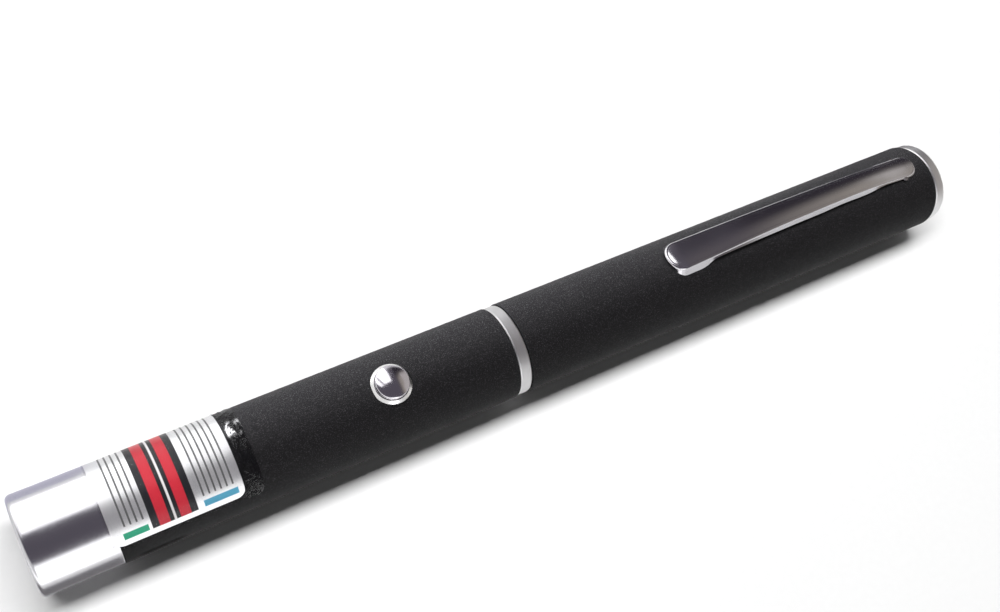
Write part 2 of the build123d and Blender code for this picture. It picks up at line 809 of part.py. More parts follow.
pieces = {
    "nozzle": nozzle,
    "front_barrel": front_barrel,
    "coupling_ring": coupling_ring,
    "label": label,
    "label_tape": label_tape,
    "module_housing": module_housing,
    "lens_cell": lens_cell,
    "collimating_lens": collimating_lens,
    "infrared_filter": infrared_filter,
    "expander_lens": expander_lens,
    "crystal_holder": crystal_holder,
    "crystal_block": crystal_block,
    "pump_diode": pump_diode,
    "diode_ring": diode_ring,
    "board_sleeve": board_sleeve,
    "driver_board": driver_board,
    "driver_chip": driver_chip,
    "trimmer_base": trimmer_base,
    "trimmer_rotor": trimmer_rotor,
    "capacitor": capacitor,
    "resistors": resistors,
    "switch_base": switch_base,
    "switch_cover": switch_cover,
    "switch_legs": switch_legs,
    "snap_dome": snap_dome,
    "switch_plunger": switch_plunger,
    "button_bezel": button_bezel,
    "button": button,
    "contact_board": contact_board,
    "contact_spring": contact_spring,
    "tail_spring": tail_spring,
    "rear_barrel": rear_barrel,
    "tail_cap": tail_cap,
    "pocket_clip": pocket_clip,
    **cell_pieces,
}
to_ground = Pos(-overall_length / 2, 0, barrel_radius)
for name, piece in pieces.items():
    export_step(to_ground * piece, f"parts/{name}.step")

print(f"{len(pieces)} pieces, overall length {overall_length:.2f} mm")
print(f"button centre {button_x:.2f}, ring {ring_start:.2f} to {ring_end:.2f}")
print(f"clip {clip_front:.2f} to {clip_rear:.2f}, cells {cells_start:.2f} to {cells_end:.2f}")
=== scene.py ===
# %% Load the fixed frame
import math
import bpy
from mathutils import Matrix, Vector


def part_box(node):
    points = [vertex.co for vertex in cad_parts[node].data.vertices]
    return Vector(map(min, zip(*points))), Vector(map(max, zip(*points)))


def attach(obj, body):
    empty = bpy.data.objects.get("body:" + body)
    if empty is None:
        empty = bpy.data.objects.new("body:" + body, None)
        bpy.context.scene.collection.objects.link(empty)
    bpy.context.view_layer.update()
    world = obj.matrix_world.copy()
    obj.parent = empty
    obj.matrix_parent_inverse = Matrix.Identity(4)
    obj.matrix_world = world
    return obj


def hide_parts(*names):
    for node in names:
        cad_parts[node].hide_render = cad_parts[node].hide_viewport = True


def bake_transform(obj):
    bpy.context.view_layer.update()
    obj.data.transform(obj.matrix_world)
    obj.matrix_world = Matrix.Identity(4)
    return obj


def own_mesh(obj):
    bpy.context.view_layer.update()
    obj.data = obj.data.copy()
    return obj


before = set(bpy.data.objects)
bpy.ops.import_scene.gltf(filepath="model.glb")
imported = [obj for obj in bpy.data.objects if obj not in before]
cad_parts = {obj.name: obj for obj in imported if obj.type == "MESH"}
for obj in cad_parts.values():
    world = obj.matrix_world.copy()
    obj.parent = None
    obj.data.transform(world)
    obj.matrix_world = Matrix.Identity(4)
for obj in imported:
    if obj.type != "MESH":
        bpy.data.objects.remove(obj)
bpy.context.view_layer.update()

from types import SimpleNamespace

import bmesh
import bpy
from mathutils import Vector, noise as solid_noise

# %% [markdown]
# # A pen-shaped laser pointer
# A laser pointer of this kind is a brass tube painted matt black, with a plated nozzle in
# front, a bright ring in the middle where the two halves screw together, a push button, and
# a sprung clip so that it rides in a shirt pocket like a pen.
#
# The solids come from the CAD model and stay where they are. This file gives them their looks.
# Lengths are written in millimetres, as on a maker's drawing, and small helpers turn a place
# along the pen, a radius and a roll about its axis into a point of the scene, or a solid's box
# into places along the pen and levels over its axis.

# %% Measures of the pen
MM = 0.001
front_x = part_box("nozzle")[0].x
tube_low, tube_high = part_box("front_barrel")
axis_z = (tube_low.z + tube_high.z) / 2
body_radius = (tube_high.z - tube_low.z) / 2 / MM
button_x = (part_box("button")[0].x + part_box("button")[1].x) / 2


def along_of(x):
    """Millimetres from the nozzle's front face to a place of the scene."""
    return (x - front_x) / MM


def spot(along, radius, roll=0.0):
    """A point from its place along the pen, its radius and its roll from upright, in degrees."""
    turn = math.radians(roll)
    return Vector((
        front_x + along * MM,
        radius * MM * math.sin(turn),
        axis_z + radius * MM * math.cos(turn)))


def run_of(node):
    """Where a node starts and ends along the pen."""
    low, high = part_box(node)
    return along_of(low.x), along_of(high.x)


def levels_of(node):
    """A node's lowest and highest level over the pen's axis."""
    low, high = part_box(node)
    return (low.z - axis_z) / MM, (high.z - axis_z) / MM


nozzle_end, ring_start = run_of("front_barrel")
ring_end, rear_end = run_of("rear_barrel")
pen_end = run_of("tail_cap")[1]
button_along = along_of(button_x)
print(f"nozzle to {nozzle_end:.2f}, ring {ring_start:.2f} to {ring_end:.2f}, "
      f"tail {rear_end:.2f} to {pen_end:.2f}, body radius {body_radius:.2f} mm")

# %% [markdown]
# Whatever is made goes into the scene in the same way: its data, which may be a mesh, a lamp or
# a camera, and an object that carries them. Three small functions do that.

# %% Putting things into the scene
scene = bpy.context.scene


def put(name, data):
    """A new object in the scene."""
    thing = bpy.data.objects.new(name, data)
    scene.collection.objects.link(thing)
    return thing


def mesh_thing(name, points, faces=(), edges=(), material=None):
    """A new mesh object from points and their faces or edges."""
    mesh = bpy.data.meshes.new(name)
    mesh.from_pydata(points, edges, faces)
    if material:
        mesh.materials.append(material)
    return put(name, mesh)


def written(shape, name):
    """A bmesh written into a new mesh, and freed."""
    mesh = bpy.data.meshes.new(name)
    shape.to_mesh(mesh)
    shape.free()
    return mesh


print("put, mesh_thing and written are ready")

# %% [markdown]
# ## One way to write every node tree
# A material, the sky and a Geometry Nodes recipe are all node trees. A tree can be wired by
# hand, link after link, but the wiring soon hides what is meant. Here a small class wraps a
# socket, so that sums on sockets are written as plain Python sums and add their Math nodes,
# and one method adds any other node.

# %% Sockets that can be added and multiplied
def sign(operation, swapped=False):
    """One of Python's own signs, as a Math node."""
    def apply(signal, other=0.0):
        pair = (other, signal) if swapped else (signal, other)
        return signal.graph.maths(operation, *pair)
    return apply


class Signal:
    """A node's output socket on which Python's own signs work."""
    __add__ = __radd__ = sign("ADD")
    __mul__ = __rmul__ = sign("MULTIPLY")
    __sub__, __rsub__ = sign("SUBTRACT"), sign("SUBTRACT", swapped=True)
    __truediv__ = sign("DIVIDE")
    __lt__ = sign("LESS_THAN")
    __abs__ = sign("ABSOLUTE")

    def __init__(self, graph, socket):
        self.graph = graph
        self.socket = socket

    def other(self, name):
        """Another output of the same node."""
        return Signal(self.graph, self.socket.node.outputs[name])


class Graph:
    """A node tree that is written as expressions."""

    def __init__(self, tree):
        self.tree = tree
        tree.nodes.clear()

    def node(self, kind, settings=None, sockets=None, output=0):
        """Adds one node: its settings first, then the values or links of its sockets."""
        made = self.tree.nodes.new(kind)
        for key, value in (settings or {}).items():
            setattr(made, key, value)
        for key, value in (sockets or {}).items():
            if isinstance(value, Signal):
                self.tree.links.new(value.socket, made.inputs[key])
            else:
                made.inputs[key].default_value = value
        return Signal(self, made.outputs[output]) if made.outputs else made

    def maths(self, operation, first, second=0.0):
        """One Math node."""
        return self.node("ShaderNodeMath", {"operation": operation}, {0: first, 1: second})

    def vector(self, *parts):
        """A vector from its parts."""
        return self.node("ShaderNodeCombineXYZ", sockets=dict(enumerate(parts)))

    def scaled(self, vector, scale):
        """A vector or colour made longer or brighter."""
        return self.node(
            "ShaderNodeVectorMath", {"operation": "SCALE"}, {0: vector, "Scale": scale})

    def length(self, first, second):
        """The long side of a triangle with two sides at a right angle."""
        return self.maths("SQRT", first * first + second * second)

    def smooth(self, value, low, high):
        """A soft step from 0 at low to 1 at high."""
        return self.node(
            "ShaderNodeMapRange", {"interpolation_type": "SMOOTHSTEP"},
            {"Value": value, "From Min": low, "From Max": high})

    def band(self, value, low, high, soft):
        """1 between low and high, with soft edges."""
        rise = self.smooth(value, low - soft, low + soft)
        fall = self.smooth(value, high - soft, high + soft)
        return rise - fall

    def mix(self, share, first, second):
        """A colour between two, each a signal or a plain (red, green, blue)."""
        first, second = (
            (*colour, 1.0) if isinstance(colour, tuple) else colour
            for colour in (first, second))
        return self.node(
            "ShaderNodeMix", {"data_type": "RGBA"}, {0: share, 6: first, 7: second}, 2)

    def noise(self, place, scale, detail=3.0, roughness=0.5, distortion=0.0):
        """A cloudy noise about 0.5."""
        return self.node(
            "ShaderNodeTexNoise", {},
            {"Vector": place, "Scale": scale, "Detail": detail, "Roughness": roughness,
             "Distortion": distortion})

    def bump(self, height, depth_mm):
        """A normal that shows a height's marks, this deep."""
        return self.node(
            "ShaderNodeBump", {},
            {"Height": height, "Distance": depth_mm * MM, "Strength": 1.0})

    def emission(self, sockets):
        """Ends a material that only glows."""
        glow = self.node("ShaderNodeEmission", sockets=sockets)
        self.node("ShaderNodeOutputMaterial", sockets={"Surface": glow})

    def principled(self, sockets):
        """Ends a material with one Principled shader."""
        shader = self.node("ShaderNodeBsdfPrincipled", sockets=sockets)
        self.node("ShaderNodeOutputMaterial", sockets={"Surface": shader})


def new_material(name):
    """An empty material and the graph to write it with."""
    material = bpy.data.materials.new(name)
    material.use_nodes = True
    return material, Graph(material.node_tree)


print("the node helpers are ready")

# %% [markdown]
# ## The camera
# The camera stands where the photograph was taken from, above the front end and a little to
# one side. It could be turned until the picture looks right, but here it was worked out from
# the pen's own straight edges, its ring and its button, whose places are known.

# %% Camera
camera_data = bpy.data.cameras.new("camera")
camera_data.sensor_width = 36.0
camera_data.lens = 43.74
camera_data.clip_start = 0.005
camera_data.clip_end = 20.0
camera = put("camera", camera_data)
camera.location = (-0.069469, -0.039874, 0.171821)
camera.rotation_euler = [math.radians(turn) for turn in (22.983, -12.984, -27.119)]
scene.camera = camera
print("camera at", [round(value, 4) for value in camera.location])

# %% [markdown]
# ## The studio
# Chrome shows nothing of its own: it is a mirror, and what stands round it is its colour. The
# bands on the nozzle give the studio away. A wide soft panel hangs on the far side, a lower one
# on the near side, white screens stand round the table, and the space overhead is dim, which
# makes the dark stripe along the top. One big lamp could do the lighting as well, but the
# short soft shadow beside the pen says that most of the light falls from nearly overhead. So
# the panels only show in the bright metal, and a lamp over the table lights everything.

# %% Sky with low white screens
WHITE = (1.0, 1.0, 1.0)
soft_light = (0.035, 0.035, 0.035)
dim_ceiling, dark_behind = (0.13, 0.118, 0.145), (0.040, 0.035, 0.046)
near_dusk, near_glow = (0.155, 0.140, 0.145), (0.46, 0.42, 0.37)
pale_wall = (0.66, 0.63, 0.60)
scene.view_settings.view_transform = "Standard"
sky = bpy.data.worlds.new("studio")
sky.use_nodes = True
scene.world = sky
studio = Graph(sky.node_tree)


def looked_at(graph):
    """1 for rays that look: from the camera, off bright metal or through glass."""
    ray = graph.node("ShaderNodeLightPath")
    return graph.maths("MAXIMUM", ray, graph.maths(
        "MAXIMUM", ray.other("Is Glossy Ray"), ray.other("Is Transmission Ray")))


east = studio.node("ShaderNodeSeparateXYZ", sockets={0: studio.node("ShaderNodeTexCoord")})
north, up = east.other("Y"), east.other("Z")
screen_top = 0.50 - 0.6 * studio.maths("MAXIMUM", east, 0.0)
screen = studio.smooth(screen_top - up, -0.10, 0.10)
near_corner = studio.mix(studio.smooth(east, 0.50, 0.68), near_dusk, near_glow)
behind_pen = studio.mix(studio.smooth(north, 0.12, 0.66), near_corner, dark_behind)
ceiling = studio.mix(studio.smooth(east, 0.40, 0.50), dim_ceiling, behind_pen)
rear_wall = studio.smooth(east, 0.66, 0.76) * studio.smooth(
    up, 0.70, 0.55) * studio.smooth(north, 0.56, 0.30)
ceiling = studio.mix(rear_wall, ceiling, pale_wall)
sky_colour = studio.mix(screen, ceiling, WHITE)
studio.node("ShaderNodeOutputWorld", sockets={
    "Surface": studio.node("ShaderNodeBackground", sockets={
        "Color": studio.mix(looked_at(studio), soft_light, sky_colour),
        "Strength": 1.0})})
print("sky: dim overhead, white screens low down")

# %% Soft lamps
def soft_lamp(name, roll, distance, width, length, middle, radiance):
    """A soft rectangular lamp beside the pen, facing its axis."""
    data = bpy.data.lights.new(name, "AREA")
    data.shape = "RECTANGLE"
    data.size = length
    data.size_y = width
    data.energy = radiance * math.pi * length * width
    lamp = put(name, data)
    turn = math.radians(roll)
    lamp.location = (middle, distance * math.sin(turn), axis_z + distance * math.cos(turn))
    lamp.rotation_euler = (-turn, 0.0, 0.0)
    lamp.visible_camera = False
    return lamp


table_lamp = soft_lamp("table_lamp", 11.0, 0.6, 0.17, 0.7, -0.02, 14.2)
table_lamp.visible_glossy = False
floor_sheen = soft_lamp("floor_sheen", -90.0, 0.105, 0.15, 0.20, -0.11, 1.55)
floor_sheen.location.z = 0.0008
floor_sheen.rotation_euler.x = math.pi
for panel in (soft_lamp("far_panel", 50.0, 0.5, 0.78, 0.31, -0.11, 2.4),
              soft_lamp("front_panel", 50.0, 0.5, 0.84, 0.18, -0.42, 2.0),
              soft_lamp("near_panel", -74.0, 0.6, 0.32, 0.30, -0.09, 1.7), floor_sheen):
    panel.visible_diffuse = False
print("a lamp over the table and four panels")

# %% [markdown]
# The pen lies on matt white paper. Seen by the camera the paper glows a little, and more
# further off, so that it runs into the white screens without a horizon.

# %% Floor
def flat_sheet(name, low, high, height, material):
    """A flat sheet between two corners, as one face."""
    return mesh_thing(name, [
        (low[0], low[1], height), (high[0], low[1], height), (high[0], high[1], height),
        (low[0], high[1], height)], [(0, 1, 2, 3)], material=material)


floor_material, paper = new_material("white_paper")
paper_place = paper.node("ShaderNodeTexCoord", output="Object")
paper_grain = paper.noise(paper_place, 900.0)
distance = paper.node(
    "ShaderNodeVectorMath", {"operation": "LENGTH"}, {0: paper_place}, "Value")
far_off = 0.10 * paper.smooth(distance, 0.09, 0.17) + 0.9 * paper.smooth(distance, 0.2, 1.2)
paper.principled({
    "Base Color": paper.mix(paper_grain, (0.84, 0.84, 0.84), (0.87, 0.87, 0.87)),
    "Roughness": 0.9,
    "Specular IOR Level": 0.0,
    "Emission Color": (*WHITE, 1.0),
    "Emission Strength": looked_at(paper) * (0.02 + far_off)})
floor = flat_sheet("floor", (-3.0, -3.0), (3.0, 3.0), 0.0, floor_material)
print("floor of matt white paper")

# %% [markdown]
# Chrome on white paper loses its edges, so photographers lay cards beside it, out of the
# picture, to draw the edges back. Here the cards glow with their own colour, as painted
# reflections: a dark one on the near side of the nozzle stands in for the reflection of the
# shadow beside the pen, a pale grey one lies on its far side and a dark one beyond the cap.
# The camera and the soft light don't see them, only the mirror of the metal does.

# %% Glowing cards beside the pen, seen only in metal
card_level, card_front, card_rear = 0.0004, front_x - 0.012, front_x + 0.0112


def painted_reflection_card(name, low, high, colour):
    """A glowing card just over the paper, a painted reflection that shows in metal only."""
    material, graph = new_material(name + "_paper")
    fibres = graph.noise(graph.node("ShaderNodeTexCoord", output="Object"), 700.0)
    graph.emission({
        "Color": graph.mix(fibres, colour, tuple(channel * 0.9 for channel in colour)),
        "Strength": looked_at(graph)})
    sheet = flat_sheet(name, low, high, card_level, material)
    sheet.visible_camera = False
    sheet.visible_diffuse = False
    sheet.visible_shadow = False


painted_reflection_card("near_shadow_reflection_card", (card_front, -0.0195), (card_rear, -0.0085), (0.26, 0.25, 0.26))
painted_reflection_card("far_reflection_card", (card_front, 0.008), (card_rear, 0.060), (0.74, 0.73, 0.86))
painted_reflection_card("rear_reflection_card", (front_x + 0.150, 0.009), (front_x + 0.300, 0.120), (0.20, 0.19, 0.21))
print("three cards beside the pen")

# %% [markdown]
# ## Finishes
# Each finish is written once and used wherever the real pen has it. All patterns read object
# coordinates in millimetres, so a grain has its true size, and the pen's own cylinder
# coordinates where a pattern goes round it.

# %% Places that the finishes read
def places(graph):
    """The point in millimetres, and its place along, sideways, up, round and out of the pen."""
    point_mm = graph.scaled(graph.node("ShaderNodeTexCoord", output="Object"), 1 / MM)
    parts = graph.node("ShaderNodeSeparateXYZ", sockets={0: point_mm})
    side = parts.other("Y")
    rise = parts.other("Z") - axis_z / MM
    return SimpleNamespace(
        point=point_mm, along=parts - front_x / MM, side=side, rise=rise,
        roll=graph.maths("ARCTAN2", side, rise) * (180 / math.pi),
        radius=graph.length(side, rise))


def wrapped(graph, place, along_scale, round_scale):
    """A texture vector that runs along the pen and round it, to stretch a grain either way."""
    turn = place.roll * (math.pi / 180)
    return graph.vector(
        place.along * along_scale,
        graph.maths("SINE", turn) * (body_radius * round_scale),
        graph.maths("COSINE", turn) * (body_radius * round_scale))


def metal(name, colour, roughness, spread, scale, depth_mm, along_scale=1.0, round_scale=1.0):
    """A bare or plated metal: a fine grain in its roughness, smudges, and faint marks."""
    material, graph = new_material(name)
    place = places(graph)
    grain = graph.noise(wrapped(graph, place, along_scale, round_scale), scale, 4.0, 0.6)
    smudge = graph.noise(place.point, 0.35, 3.0, 0.6)
    tint = tuple(channel * 0.93 for channel in colour)
    graph.principled({
        "Base Color": graph.mix(smudge, colour, tint),
        "Metallic": 1.0,
        "Roughness": roughness + spread * (grain - 0.5) + spread * (smudge - 0.5),
        "Normal": graph.bump(grain, depth_mm)})
    return material


plated_chrome = metal("plated_chrome", (0.58, 0.575, 0.60), 0.22, 0.08, 2.5, 0.0012)
pressed_chrome = metal("pressed_chrome", (0.56, 0.55, 0.575), 0.18, 0.06, 2.0, 0.0010)
polished_dome = metal("polished_dome", (0.58, 0.56, 0.60), 0.17, 0.10, 1.6, 0.0060)
bezel_chrome = metal("worn_bezel_chrome", (0.80, 0.79, 0.79), 0.24, 0.12, 3.0, 0.0010)
turned_silver = metal(
    "turned_silver", (0.60, 0.595, 0.60), 0.50, 0.12, 6.0, 0.0030, 6.0, 0.15)
satin_silver = metal(
    "satin_silver", (0.74, 0.735, 0.74), 0.45, 0.12, 6.0, 0.0030, 6.0, 0.15)
spring_steel = metal("spring_steel", (0.60, 0.585, 0.555), 0.22, 0.12, 5.0, 0.0015)
print("seven metals")

# %% [markdown]
# The barrels are sprayed matt black, with a rough grain of light specks. The upper and far
# side is painted paler, as painted light where the lamp falls, the underside is painted
# darker as painted shade, and one short streak below the label is darker and rougher.

# %% Matt black paint
black_paint, paint = new_material("matt_black_paint")
paint_place = places(paint)
orange_peel = paint.noise(paint_place.point, 4.5, 3.0, 0.6)
fine_specks = paint.smooth(paint.noise(paint_place.point, 9.0, 2.0, 0.5), 0.56, 0.68)
handling = paint.noise(paint_place.point, 0.25, 4.0, 0.65)
# a short streak below the label, darker and rougher than the paint round it
dark_streak = paint.band(paint_place.along, 12.9, 18.7, 1.2) * paint.band(
    paint_place.roll, -91.0, -82.0, 2.0)
# painted light: the paint's colour is paler on its upper and far side, where the lamp falls
dust_and_painted_light = paint.smooth(paint_place.roll, -30.0, 60.0) * paint.smooth(
    paint_place.roll, 150.0, 90.0)
# painted shade: the paint's colour is darker on the underside
painted_underside_shade = paint.smooth(paint_place.roll, -68.0, -88.0)
# the paint's colour with its painted light and shade, and the dark streak
colour_with_painted_light = paint.scaled(
    paint.mix(fine_specks, (0.0115, 0.0112, 0.0122), (0.060, 0.058, 0.062)),
    (0.7 + 1.9 * dust_and_painted_light) * (1.0 - 0.9 * dark_streak) * (1.0 - 0.4 * painted_underside_shade))
paint.principled({
    "Base Color": colour_with_painted_light,
    "Roughness": 0.66 + 0.10 * (handling - 0.5) - 0.06 * fine_specks + 0.3 * dark_streak,
    "Specular IOR Level": 0.12,
    "Normal": paint.bump(orange_peel + 0.5 * fine_specks, 0.012)})
print("matt black paint")

# %% [markdown]
# ## Turned pieces
# The nozzle, the barrels, the ring and the cap are turned on a lathe, so each is a section
# spun about an axis. Blender's Screw modifier could do it, and so could a loop over angles.
# Here a Geometry Nodes recipe plays the lathe: it sweeps the section round a circle, closes
# the poles by merging and gives it its material.

# %% The lathe recipe
def new_recipe(name, inputs):
    """A Geometry Nodes tree with named inputs, and the signals of those inputs."""
    tree = bpy.data.node_groups.new(name, "GeometryNodeTree")
    tree.interface.new_socket("Geometry", in_out="INPUT", socket_type="NodeSocketGeometry")
    tree.interface.new_socket("Geometry", in_out="OUTPUT", socket_type="NodeSocketGeometry")
    for label, kind in inputs.items():
        tree.interface.new_socket(label, in_out="INPUT", socket_type="NodeSocket" + kind)
    graph = Graph(tree)
    given = tree.nodes.new("NodeGroupInput")
    signals = {socket.name: Signal(graph, socket) for socket in given.outputs if socket.name}
    return graph, signals


def serve(graph, geometry, material):
    """Ends a recipe: real geometry, one material, and out."""
    real = graph.node("GeometryNodeRealizeInstances", sockets={"Geometry": geometry})
    dressed = graph.node(
        "GeometryNodeSetMaterial", sockets={"Geometry": real, "Material": material})
    graph.node("NodeGroupOutput", sockets={"Geometry": dressed})
    return graph.tree


lathe, given = new_recipe("lathe", {
    "Turning Radius": "Float", "Steps": "Int", "Tilt": "Float", "Place": "Vector",
    "Material": "Material"})
section = lathe.node("GeometryNodeMeshToCurve", sockets={"Mesh": given["Geometry"]})
circle = lathe.node(
    "GeometryNodeCurvePrimitiveCircle",
    sockets={"Resolution": given["Steps"], "Radius": given["Turning Radius"]})
skin = lathe.node(
    "GeometryNodeCurveToMesh", sockets={"Curve": circle, "Profile Curve": section})
closed = lathe.node(
    "GeometryNodeMergeByDistance", sockets={"Geometry": skin, "Distance": 2e-7})
tilt = lathe.vector(0.0, given["Tilt"])
placed = lathe.node(
    "GeometryNodeTransform",
    sockets={"Geometry": closed, "Translation": given["Place"], "Rotation": tilt})
lathe_tree = serve(lathe, placed, given["Material"])
print("lathe recipe with", len(lathe_tree.nodes), "nodes")

# %% Baking a recipe into a plain mesh
def bake(holder, name, sharp_degrees=35.0):
    """The evaluated object as a plain mesh, with outward faces and sharp edges marked."""
    depsgraph = bpy.context.evaluated_depsgraph_get()
    mesh = bpy.data.meshes.new_from_object(holder.evaluated_get(depsgraph), depsgraph=depsgraph)
    bpy.data.objects.remove(holder)
    shape = bmesh.new()
    shape.from_mesh(mesh)
    bmesh.ops.recalc_face_normals(shape, faces=shape.faces)
    for face in shape.faces:
        face.smooth = True
    shape.to_mesh(mesh)
    shape.free()
    mesh.set_sharp_from_angle(angle=math.radians(sharp_degrees))
    mesh.name = name
    print(name, len(mesh.polygons), "faces")
    return put(name, mesh)


def run_recipe(holder, tree, values):
    """Puts a recipe on an object and sets its inputs by the sockets' identifiers."""
    modifier = holder.modifiers.new("recipe", "NODES")
    modifier.node_group = tree
    for socket in tree.interface.items_tree:
        if socket.in_out == "INPUT" and socket.name in values:
            modifier[socket.identifier] = values[socket.name]
    return holder


def edge_loop(points, name):
    """A closed loop of edges as an object, to feed to a recipe."""
    count = len(points)
    return mesh_thing(name, points, edges=[(i, (i + 1) % count) for i in range(count)])


print("bake, run_recipe and edge_loop are ready")

# %% [markdown]
# A turned edge is never a knife edge. Each corner of a section may carry a small round, and
# short support edges beside the round keep the flat faces flat in the highlights.

# %% Sections with rounded corners
SUPPORT = 0.2


def rounded_section(corners, steps=6):
    """Points of a closed section from corners of (along, radius) or (along, radius, round)."""
    points = []
    count = len(corners)
    for index, corner in enumerate(corners):
        here = Vector(corner[:2])
        size = corner[2] if len(corner) > 2 else 0.0
        if size == 0.0:
            points.append(here)
            continue
        back = (Vector(corners[index - 1][:2]) - here).normalized()
        ahead = (Vector(corners[(index + 1) % count][:2]) - here).normalized()
        half = back.angle(ahead) / 2
        reach = size / math.tan(half)
        centre = here + (back + ahead).normalized() * (size / math.sin(half))
        start = here + back * reach - centre
        sweep = start.angle_signed(here + ahead * reach - centre)
        points.append(here + back * (reach + SUPPORT * size))
        for step in range(steps + 1):
            angle = -sweep * step / steps
            points.append(centre + Vector((
                start.x * math.cos(angle) - start.y * math.sin(angle),
                start.x * math.sin(angle) + start.y * math.cos(angle))))
        points.append(here + ahead * (reach + SUPPORT * size))
    return points


def turned_piece(name, corners, material, steps=256, upright_at=None):
    """A section spun about the pen's axis, or about an upright axis over a place along it."""
    points = [((radius - body_radius) * MM, -along * MM, 0.0)
              for along, radius in rounded_section(corners)]
    if upright_at is None:
        tilt_angle, place = math.pi / 2, (front_x, 0.0, axis_z)
    else:
        tilt_angle, place = 0.0, (front_x + upright_at * MM, 0.0, axis_z)
    holder = run_recipe(edge_loop(points, name), lathe_tree, {
        "Turning Radius": body_radius * MM, "Steps": steps, "Tilt": tilt_angle,
        "Place": place, "Material": material})
    return bake(holder, name)


def settle(piece, body, slot, *nodes):
    """The piece rides on its body and hides the solids it stands for. The slot is not used."""
    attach(piece, body)
    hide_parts(*nodes)


print("the lathe is ready")

# %% [markdown]
# The nozzle is countersunk in front, with a small hole for the beam. Behind it a spigot with a
# sliding fit goes into the barrel. Only the outer edges have a round that shows.

# %% Nozzle
fit_gap, fine_edge, end_edge = 0.02, 0.12, 0.7
bore = body_radius - 1.05
spigot = bore - fit_gap
mouth_radius, beam_radius, mouth_depth, web_end = 4.2, 2.2, 2.2, 3.4
plug_bore, plug_end = 4.9, nozzle_end + 5.2
nozzle_skin = turned_piece("nozzle_skin", [
    (0.0, mouth_radius, 0.15), (0.0, body_radius, end_edge), (nozzle_end, body_radius, 0.08),
    (nozzle_end, spigot), (plug_end, spigot, 0.15), (plug_end, plug_bore),
    (web_end, plug_bore), (web_end, beam_radius), (mouth_depth, beam_radius)], plated_chrome)
settle(nozzle_skin, "grip", "nozzle_chrome", "nozzle")

# %% [markdown]
# ## Barrels
# Each barrel is a length of tube. The front one has a round hole for the button's bezel and
# the rear one a slot for the clip's tab. The tube comes off the lathe, and a Boolean cuts the
# opening while the mesh is still being made, so that the finished piece is plain.

# %% Cutting an opening
def cut_out(piece, shape):
    """Cuts a bmesh's solid out of a piece, then bakes the piece and drops the cutter."""
    cutter = put("cutter", written(shape, "cutter"))
    modifier = piece.modifiers.new("cut", "BOOLEAN")
    modifier.object = cutter
    modifier.solver = "EXACT"
    result = bake(piece, piece.name)
    bpy.data.objects.remove(cutter)
    return result


def block_shape(low, high):
    """A block between two corners, as a bmesh."""
    shape = bmesh.new()
    bmesh.ops.create_cube(shape, size=1.0)
    for vert in shape.verts:
        vert.co = Vector([
            low[i] + (vert.co[i] + 0.5) * (high[i] - low[i]) for i in range(3)])
    return shape


print("cut_out and block_shape are ready")

# %% Front barrel
tube_edge, socket_bore = 0.13, bore + 0.2
bezel_outer = 2.95
hole_radius, hole_apart = (bezel_outer + fit_gap) * MM, 3.6
ring_socket = ring_start - 6.6
front_tube = turned_piece("front_barrel_skin", [
    (nozzle_end, bore), (nozzle_end, body_radius, tube_edge),
    (button_along - hole_apart, body_radius), (button_along + hole_apart, body_radius),
    (ring_start, body_radius, tube_edge), (ring_start, socket_bore),
    (ring_socket, socket_bore), (ring_socket, bore),
    (button_along + hole_apart, bore), (button_along - hole_apart, bore)], black_paint)
hole = bmesh.new()
bmesh.ops.create_cone(
    hole, cap_ends=True, segments=96, radius1=hole_radius, radius2=hole_radius, depth=12 * MM)
for vert in hole.verts:
    vert.co += Vector((button_x, 0.0, axis_z + 6.5 * MM))
front_tube = cut_out(front_tube, hole)
settle(front_tube, "grip", "black_paint", "front_barrel")

# %% Rear barrel
clip_roll = math.radians(11.4)
slot_start, slot_length, slot_half, slot_low, slot_high = 145.1, 1.3, 2.07, 4.9, 8.0
before_slot, after_slot, thread_socket = slot_start - 1.0, slot_start + 2.4, ring_end + 7.1
rear_tube = turned_piece("rear_barrel_skin", [
    (ring_end, socket_bore), (ring_end, body_radius, tube_edge),
    (before_slot, body_radius), (after_slot, body_radius),
    (rear_end, body_radius, end_edge), (rear_end, bore),
    (after_slot, bore), (before_slot, bore),
    (thread_socket, bore), (thread_socket, socket_bore)], black_paint)
slot_shape = block_shape(
    (front_x + slot_start * MM, -slot_half * MM, slot_low * MM),
    (front_x + (slot_start + slot_length) * MM, slot_half * MM, slot_high * MM))
for vert in slot_shape.verts:
    y, z = vert.co.y, vert.co.z
    vert.co.y = y * math.cos(clip_roll) + z * math.sin(clip_roll)
    vert.co.z = axis_z - y * math.sin(clip_roll) + z * math.cos(clip_roll)
rear_tube = cut_out(rear_tube, slot_shape)
settle(rear_tube, "rear_tube", "black_paint", "rear_barrel")

# %% [markdown]
# ## Coupling ring and springs
# The ring's rear spigot carries the thread that the two halves screw together on, and each end
# of the battery tube has a spring of round wire. A thread and a spring are the same thing, a
# section that follows a helix, so one Geometry Nodes recipe makes them all. A Screw modifier
# would also do, but the recipe takes a tapering coil as well.

